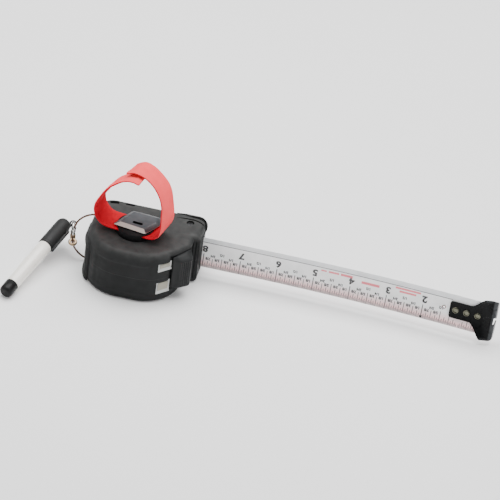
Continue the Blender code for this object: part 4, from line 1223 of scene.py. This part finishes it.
def make_wire(wire_mat, crimp_mat):
    """Stranded wire: a round section with twisted lobes, and a crimped ferrule."""
    path = closed_curve(WIRE_ROUTE, 22)
    lay = 2 * math.pi * 40 / len(path)
    bm = tube(path, lambda i, t: WIRE_RADIUS * (0.92 + 0.1 * math.cos(5 * t + lay * i)), 30, ring=True)
    piece("wire_ring", bm, wire_mat, "wire", ["wire_loop"], sharp=80.0)
    inner = WIRE_RADIUS + 0.04
    profile = [(inner, -3.0), (1.15, -3.0), (1.35, -2.8), (1.35, -2.0), (1.12, -1.5), (1.12, -0.9), (1.35, -0.4),
               (1.35, 0.4), (1.12, 0.9), (1.12, 1.5), (1.35, 2.0), (1.35, 2.8), (1.15, 3.0), (inner, 3.0)]
    ferrule = turned(profile, 40, ring=True)
    ferrule.transform(axes_at(Vector((-43.9, 6.0, 22.6)), Vector((0.1, 0.0, 1.0)), Vector((1.0, 0.0, 0.0))))
    piece("crimp", ferrule, crimp_mat, "wire", ["wire_ferrule"])


def oval(half_x, half_z, centre_z, start, end, steps):
    points = []
    for k in range(steps + 1):
        turn = math.radians(start + (end - start) * k / steps)
        points.append(Vector((half_x * math.cos(turn), 0.0, centre_z + half_z * math.sin(turn))))
    return points


def make_clasp(brass, silver, bronze):
    eye = tube(oval(2.05, 2.05, 0.0, 0, 360, 48)[:-1], 1.1, 18, ring=True)
    neck = [(0.2, 1.9), (1.0, 2.1), (1.0, 3.2), (1.5, 3.5), (1.9, 3.9), (1.9, 4.7), (1.65, 4.9), (1.65, 5.2), (1.9, 5.4),
            (1.9, 6.4), (1.6, 6.9), (1.2, 7.2), (0.2, 7.25)]
    swivel = merge(eye_at(eye), placed(turned(neck, 40), CLASP_FOOT, CLASP_AXIS))
    piece("clasp_eye_ring", swivel, brass, "clasp_eye", ["clasp_swivel"])
    half_x, half_z = CLASP_LOOP_HALF
    path = oval(half_x, half_z, CLASP_LOOP_CENTRE, -84, 158, 60)
    hook = tube(path, lambda i, t: CLASP_WIRE * (1.15 + 0.2 * math.sin(math.pi * i / 60)), 20)
    collar = turned([(0.2, 7.5), (1.1, 7.6), (1.45, 7.8), (1.55, 8.1), (1.55, 9.2), (1.35, 9.6), (1.0, 9.85), (0.2, 9.9)], 40)
    body = merge(placed(hook, CLASP_FOOT, CLASP_AXIS), placed(collar, CLASP_FOOT, CLASP_AXIS))
    piece("clasp_hook", body, silver, "clasp", ["clasp_body"])
    arc = oval(half_x, half_z, CLASP_LOOP_CENTRE, 171, 222, 24)
    gate = placed(tube(arc, lambda i, t: 0.5 * (0.75 + 0.25 * math.sin(math.pi * i / 24)), 16), CLASP_FOOT, CLASP_AXIS)
    piece("clasp_lever", gate, bronze, "gate", ["clasp_gate"])


def placed(bm, base, direction, side=Vector((0.0, 0.0, 1.0))):
    bm.transform(axes_at(base, direction, side))
    return bm


def eye_at(bm):
    return placed(bm, CLASP_FOOT, CLASP_AXIS, Vector((1.0, 0.0, 0.0)))


# ================================================================ pen
PEN_END = Vector((-75.2, -53.1, 4.38))
PEN_TOP = Vector((-52.8, 21.6, 16.7))
CAP_RADIUS = 5.35
CAP_LENGTH = 27.5
CAP_EYE_RISE = 1.6
CAP_EYE_SIDE = 4.7
BARREL_RADIUS = 4.9
PLUG_LENGTH = 9.5


def pen_placed(bm):
    return placed(bm, PEN_END, PEN_TOP - PEN_END)


def make_pen(black, cream, plug_mat):
    length = (PEN_TOP - PEN_END).length
    mouth = length - CAP_LENGTH
    r = CAP_RADIUS
    crown = smooth_profile([(0.05, length + 0.02), (r - 3.6, length - 0.02), (r - 2.2, length - 0.35),
                            (r - 1.0, length - 1.5), (r - 0.3, length - 3.2), (r - 0.05, length - 5.5)], 6)
    skirt = [(r, mouth + 8), (r + 0.02, mouth + 2.3), (r - 0.12, mouth + 2.1), (r - 0.12, mouth + 1.9),
             (r + 0.02, mouth + 1.7), (r, mouth + 0.3), (r - 0.2, mouth)]
    bore = [(r - 0.6, mouth), (r - 0.75, mouth + 0.25), (r - 0.8, length - 5.0), (r - 1.5, length - 3.6),
            (0.1, length - 3.2)]
    cap = turned([(p[0], p[1]) for p in crown] + skirt + bore, 64)
    merge(cap, pen_clip(r, mouth, length))
    ring = [Vector((0.0, CAP_EYE_SIDE + 2.0 * math.cos(t), length + CAP_EYE_RISE + 2.0 * math.sin(t)))
            for t in (2 * math.pi * k / 40 for k in range(40))]
    merge(cap, tube(ring, 0.55, 16, ring=True))
    lug = [[Vector((x, y, z)) for x, y in ((-0.8, CAP_EYE_SIDE - 3.1), (0.8, CAP_EYE_SIDE - 3.1),
                                            (0.7, CAP_EYE_SIDE + 0.3), (-0.7, CAP_EYE_SIDE + 0.3))]
           for z in (length - 2.8, length - 0.3)]
    merge(cap, loft(lug))
    piece("marker_cap", pen_placed(cap), black, "cap", ["pen_cap"])

    b = BARREL_RADIUS
    barrel = [(b - 0.55, PLUG_LENGTH + 0.1), (b - 0.42, PLUG_LENGTH + 0.4), (b - 0.3, 16.0), (b - 0.05, 28.0),
              (b + 0.08, 40.0), (b + 0.1, mouth - 0.6), (b, mouth - 0.25), (b - 0.7, mouth + 0.1),
              (b - 0.7, mouth + 8.0), (3.2, mouth + 8.0), (3.2, PLUG_LENGTH + 0.1)]
    piece("marker_barrel", pen_placed(turned(barrel, 64, ring=True)), cream, "pen", ["pen_barrel"])
    plug = [(0.05, 0.0), (b - 2.4, 0.02), (b - 1.5, 0.15), (b - 0.9, 0.6), (b - 0.5, 1.4), (b - 0.35, 2.4),
            (b - 0.32, PLUG_LENGTH - 1.2), (b - 0.45, PLUG_LENGTH - 1.0), (b - 0.45, PLUG_LENGTH - 0.7),
            (b - 0.32, PLUG_LENGTH - 0.5), (b - 0.35, PLUG_LENGTH), (2.8, PLUG_LENGTH), (2.8, PLUG_LENGTH + 4.0)]
    piece("marker_plug", pen_placed(turned(plug, 64)), plug_mat, "pen", ["pen_plug"])


def pen_clip(r, mouth, length):
    """Sprung clip with a rounded back and a turned-out tip that reaches past the cap's mouth."""
    rows = []
    top = length - 6.6
    spans = 40
    for k in range(spans + 1):
        z = mouth - 2.0 + (top - mouth + 2.0) * k / spans
        end = min(z - mouth + 2.0, top - z)
        half = 0.95 * (0.55 + 0.45 * smoothstep(0.0, 1.2, end))
        tip = 0.25 * (1 - smoothstep(0.0, 3.0, z - mouth + 2.0))
        low = r + 0.85 - 1.1 * smoothstep(top - 3.2, top - 2.4, z) + tip
        high = r + 1.75 - 0.35 * (1 - smoothstep(0.0, 1.5, end))
        row = []
        for i in range(9):
            a = math.pi * i / 8
            row.append(Vector((half * math.cos(a), high - 0.35 + 0.35 * math.sin(a), z)))
        row += [Vector((-half, low, z)), Vector((half, low, z))]
        rows.append(row)
    return loft(rows)


# ================================================================ materials
RUBBER = (0.0095, 0.0102, 0.0106)


def rubber_material():
    """Jacket rubber: satin, with painted light making upward faces paler in patches."""
    mat, tree, shader = new_material("jacket_rubber", RUBBER, 0.55, Specular_IOR_Level=0.12)
    cloud = noise(tree, 45.0, 5.0)
    tone = ramp(tree, cloud, [(0.3, scaled(RUBBER, 0.82)), (0.7, scaled(RUBBER, 1.2))])
    facing = add_node(tree, "ShaderNodeSeparateXYZ", Vector=add_node(tree, "ShaderNodeNewGeometry").outputs["Normal"])
    # Painted top light: faces turned up are mixed towards a paler grey, broken into patches by noise.
    painted_top_light = math_node(tree, "MULTIPLY", remap(tree, facing.outputs["Z"], 0.08, 0.95),
                      remap(tree, noise(tree, 160.0, 4.0), 0.55, 1.0, 0.3, 0.7))
    tone = mix_colour(tree, painted_top_light, tone, (0.047, 0.048, 0.047))
    tone = mix_colour(tree, math_node(tree, "MULTIPLY", edge_wear(tree), 0.35), tone, (0.06, 0.06, 0.058))
    tree.links.new(tone, shader.inputs["Base Color"])
    tree.links.new(remap(tree, noise(tree, 200.0, 3.0), 0.42, 0.62, 0.3, 0.7), shader.inputs["Roughness"])
    add_bump(tree, shader, noise(tree, 1400.0, 2.0), 0.5, 0.05)
    add_bump(tree, shader, noise(tree, 240.0, 3.0), 0.25, 0.06)
    return mat


def blade_material():
    """Coated spring steel: brushed pale grey, pinkish ticked zone, greyer plain strip by the top edge."""
    mat, tree, shader = new_material("blade_coating", (0.9, 0.9, 0.91), 0.34, 0.0, Coat_Weight=0.3,
                                     Coat_Roughness=0.2)
    across = add_node(tree, "ShaderNodeAttribute", {"attribute_name": "across"}).outputs["Fac"]
    tone = ramp(tree, across, [(0.0, (0.84, 0.74, 0.74)), (0.09, (0.90, 0.60, 0.60)), (0.17, (0.92, 0.72, 0.72)),
                               (0.33, (0.92, 0.92, 0.92)), (0.79, (0.92, 0.92, 0.925)), (0.81, (0.70, 0.715, 0.73)),
                               (1.0, (0.76, 0.775, 0.79))])
    mottle = remap(tree, noise(tree, 130.0, 4.0), 0.93, 1.05, 0.3, 0.7)
    tone = mix_colour(tree, 1.0, tone, add_node(tree, "ShaderNodeCombineColor", Red=mottle, Green=mottle,
                                                Blue=mottle).outputs["Color"], "MULTIPLY")
    tree.links.new(tone, shader.inputs["Base Color"])
    streaks = noise(tree, 900.0, 3.0, (0.08, 1.0, 1.0))
    tree.links.new(remap(tree, streaks, 0.28, 0.44, 0.3, 0.7), shader.inputs["Roughness"])
    add_bump(tree, shader, streaks, 0.25, 0.01)
    return mat


def hook_material():
    """Black enamel, with painted light greying the faces turned to +X, the fold and the lip, in patches; worn edges
    greyer too.
    """
    base = (0.0028, 0.003, 0.0034)
    mat, tree, shader = new_material("hook_enamel", base, 0.26, Specular_IOR_Level=0.08)
    sides = add_node(tree, "ShaderNodeSeparateXYZ", Vector=add_node(tree, "ShaderNodeNewGeometry").outputs["Normal"])
    patches = noise(tree, 260.0, 4.0)
    tone = ramp(tree, patches, [(0.3, scaled(base, 0.8)), (0.7, scaled(base, 1.4))])
    # Painted light: faces turned towards +X, over the fold and the lip, are greyed in patches.
    painted_light = math_node(tree, "MULTIPLY", remap(tree, sides.outputs["X"], 0.0, 1.0, 0.0, 0.3),
                       remap(tree, patches, 0.6, 1.0, 0.35, 0.65))
    tone = mix_colour(tree, painted_light, tone, (0.055, 0.058, 0.062))
    tone = mix_colour(tree, math_node(tree, "MULTIPLY", edge_wear(tree), 0.3), tone, (0.05, 0.05, 0.052))
    tree.links.new(tone, shader.inputs["Base Color"])
    tree.links.new(remap(tree, patches, 0.2, 0.36, 0.3, 0.7), shader.inputs["Roughness"])
    add_bump(tree, shader, noise(tree, 500.0, 2.0), 0.4, 0.02)
    return mat


def ink_material(name, colour):
    mat, tree, shader = new_material(name, colour, 0.4)
    worn = noise(tree, 700.0, 4.0)
    tree.links.new(ramp(tree, worn, [(0.35, colour), (0.8, tuple(c + 0.07 for c in colour))]),
                   shader.inputs["Base Color"])
    add_bump(tree, shader, worn, 0.2, 0.01)
    return mat


def webbing_material(name, colour, shade, loops):
    """Narrow woven webbing: ribs across, yarns along, with a fuzzy looped nap where `loops` is 1."""
    mat, tree, shader = new_material(name, colour, 0.88, Sheen_Weight=0.05 + 0.3 * loops, Sheen_Roughness=0.5,
                                     Specular_IOR_Level=0.12,
                                     Sheen_Tint=(*scaled(colour, 1.2), 1.0))
    uv = place_coords(tree, (1.0, 1.0, 1.0), "UV")
    ribs = add_node(tree, "ShaderNodeTexWave", {"bands_direction": "Y"}, Vector=uv, Scale=330.0, Distortion=0.6)
    yarns = add_node(tree, "ShaderNodeTexWave", {"bands_direction": "X"}, Vector=uv, Scale=240.0, Distortion=0.4)
    weave = math_node(tree, "MULTIPLY", ribs.outputs["Fac"], yarns.outputs["Fac"])
    fuzz = noise(tree, 2600.0, 3.0)
    cloud = noise(tree, 90.0, 4.0)
    tone = ramp(tree, cloud, [(0.3, shade), (0.62, colour)])
    tone = mix_colour(tree, math_node(tree, "MULTIPLY", fuzz, 0.35), tone, scaled(colour, 0.62))
    tone = mix_colour(tree, math_node(tree, "MULTIPLY", weave, 0.22), tone, scaled(colour, 1.25))
    tree.links.new(tone, shader.inputs["Base Color"])
    add_bump(tree, shader, weave, 0.7, 0.12)
    add_bump(tree, shader, fuzz, 0.4 + 0.4 * loops, 0.12)
    return mat


def plate_material():
    """Slate grey moulding: a pale painted highlight on its near bevel, painted shade on its steep side walls."""
    base = (0.044, 0.05, 0.058)
    mat, tree, shader = new_material("plate_plastic", base, 0.42)
    sides = add_node(tree, "ShaderNodeSeparateXYZ", Vector=add_node(tree, "ShaderNodeNewGeometry").outputs["Normal"])
    # Painted highlight: the near bevel, turned towards -Y, is mixed to a pale beige.
    painted_light = math_node(tree, "MULTIPLY", remap(tree, sides.outputs["Y"], 1.0, 0.0, -0.42, -0.3),
                       remap(tree, sides.outputs["Y"], 0.0, 1.0, -0.8, -0.7))
    cloud = ramp(tree, noise(tree, 140.0, 4.0), [(0.3, scaled(base, 0.8)), (0.7, scaled(base, 1.3))])
    # Painted shade: faces that do not look up are darkened towards near-black.
    flat = remap(tree, sides.outputs["Z"], 0.0, 1.0, 0.55, 0.97)
    tone = mix_colour(tree, flat, (0.012, 0.013, 0.013), cloud)
    tone = mix_colour(tree, painted_light, tone, (0.52, 0.495, 0.45))
    tree.links.new(tone, shader.inputs["Base Color"])
    scuffs = noise(tree, 500.0, 4.0, (0.3, 1.0, 1.0))
    tree.links.new(remap(tree, scuffs, 0.32, 0.55, 0.3, 0.7), shader.inputs["Roughness"])
    add_bump(tree, shader, scuffs, 0.3, 0.03)
    return mat


def floor_material():
    mat, tree, shader = new_material("floor", (0.9, 0.9, 0.9), 0.8)
    tone = ramp(tree, noise(tree, 6.0, 2.0), [(0.3, (0.89, 0.89, 0.89)), (0.7, (0.91, 0.91, 0.91))])
    tree.links.new(tone, shader.inputs["Base Color"])
    return mat


def make_floor():
    bm = bmesh.new()
    bmesh.ops.create_grid(bm, x_segments=4, y_segments=4, size=4000.0)
    floor = piece("floor", bm, floor_material(), None)
    floor.location.z = -0.02 * MM


def finish_cad_nodes(materials):
    """Give every node that stays visible its procedural material."""
    for node, mat in materials.items():
        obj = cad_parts[node]
        obj.data.materials.clear()
        obj.data.materials.append(mat)


def main():
    make_camera()
    make_lights()
    make_floor()
    rubber = rubber_material()
    black = moulded("satin_black", (0.0045, 0.0045, 0.005), 0.5, 1100.0, 0.04, Specular_IOR_Level=0.12)
    lock_mat = moulded("lock_plastic", (0.0165, 0.0174, 0.0177), 0.48, 1300.0, 0.05, wear=0.12,
                       Specular_IOR_Level=0.12)
    pale = moulded("window_plastic", (0.56, 0.57, 0.56), 0.45, 700.0, 0.03, 0.06)
    tile = moulded("window_tile", (0.30, 0.285, 0.235), 0.6, 900.0, 0.05, 0.1)
    shell = moulded("shell_plastic", (0.4, 0.4, 0.4), 0.5, 600.0, 0.04)
    guide = moulded("guide_plastic", (0.02, 0.02, 0.021), 0.3, 500.0, 0.01)
    drum = moulded("drum_plastic", (0.06, 0.06, 0.062), 0.5)
    white = moulded("nib_plastic", (0.8, 0.8, 0.79), 0.4, 600.0, 0.02, 0.05)
    felt = moulded("ink_fibre", (0.03, 0.03, 0.035), 0.92, 2500.0, 0.12, 0.35)
    pen_black = moulded("pen_black", (0.021, 0.0212, 0.0215), 0.5, 600.0, 0.012, 0.1, Specular_IOR_Level=0.16)
    plug_mat = moulded("pen_plug", (0.007, 0.007, 0.0072), 0.42, 800.0, 0.02, 0.12, Specular_IOR_Level=0.16)
    cream = moulded("pen_cream", (0.88, 0.85, 0.79), 0.28, 300.0, 0.01, 0.035, Coat_Weight=0.4)
    steel = metal("screw_steel", (0.3, 0.3, 0.31), 0.35)
    dark_steel = metal("dark_steel", (0.05, 0.05, 0.052), 0.5)
    nickel = metal("rivet_nickel", (0.13, 0.128, 0.098), 0.18, tarnish=0.4)
    bronze = metal("wire_bronze", (0.135, 0.08, 0.06), 0.42, tarnish=0.4)
    brass = metal("ferrule_brass", (0.4, 0.29, 0.18), 0.36, tarnish=0.4)
    silver = metal("clasp_silver", (0.5, 0.495, 0.48), 0.22)
    spring = metal("spring_steel", (0.2, 0.21, 0.24), 0.35, (1.0, 1.0, 0.1))
    blade_mat = blade_material()

    make_jacket(True, rubber)
    make_jacket(False, rubber)
    make_windows(pale, tile)
    make_rear_pad(rubber)
    make_toe(rubber)
    make_mouth(guide)
    make_screws(steel, dark_steel)
    make_lock(lock_mat, rubber)
    make_blade(blade_mat)
    make_print(ink_material("scale_ink", (0.01, 0.01, 0.012)), ink_material("red_ink", (0.78, 0.16, 0.2)))
    make_eyelet(bronze)
    make_hook(hook_material())
    make_rivets(nickel)
    make_strap_mount(black, plate_material(), dark_steel)
    make_strap(webbing_material("strap_outer", (0.97, 0.088, 0.094), (0.9, 0.07, 0.076), 1.0),
               webbing_material("strap_inner", (0.66, 0.006, 0.022), (0.5, 0.004, 0.016), 0.0))
    make_wire(bronze, silver)
    make_clasp(brass, silver, bronze)
    make_pen(pen_black, cream, plug_mat)
    finish_cad_nodes({
        "shell_lower": shell, "shell_upper": shell, "spool_post": steel, "spool_drum": drum,
        "wound_blade": metal("roll_edge", (0.5, 0.5, 0.5), 0.35, (1.0, 1.0, 0.1)), "return_spring": spring,
        "pen_ink_reservoir": felt, "pen_nib_holder": white, "pen_nib": felt,
    })


main()
bpy.context.view_layer.update()
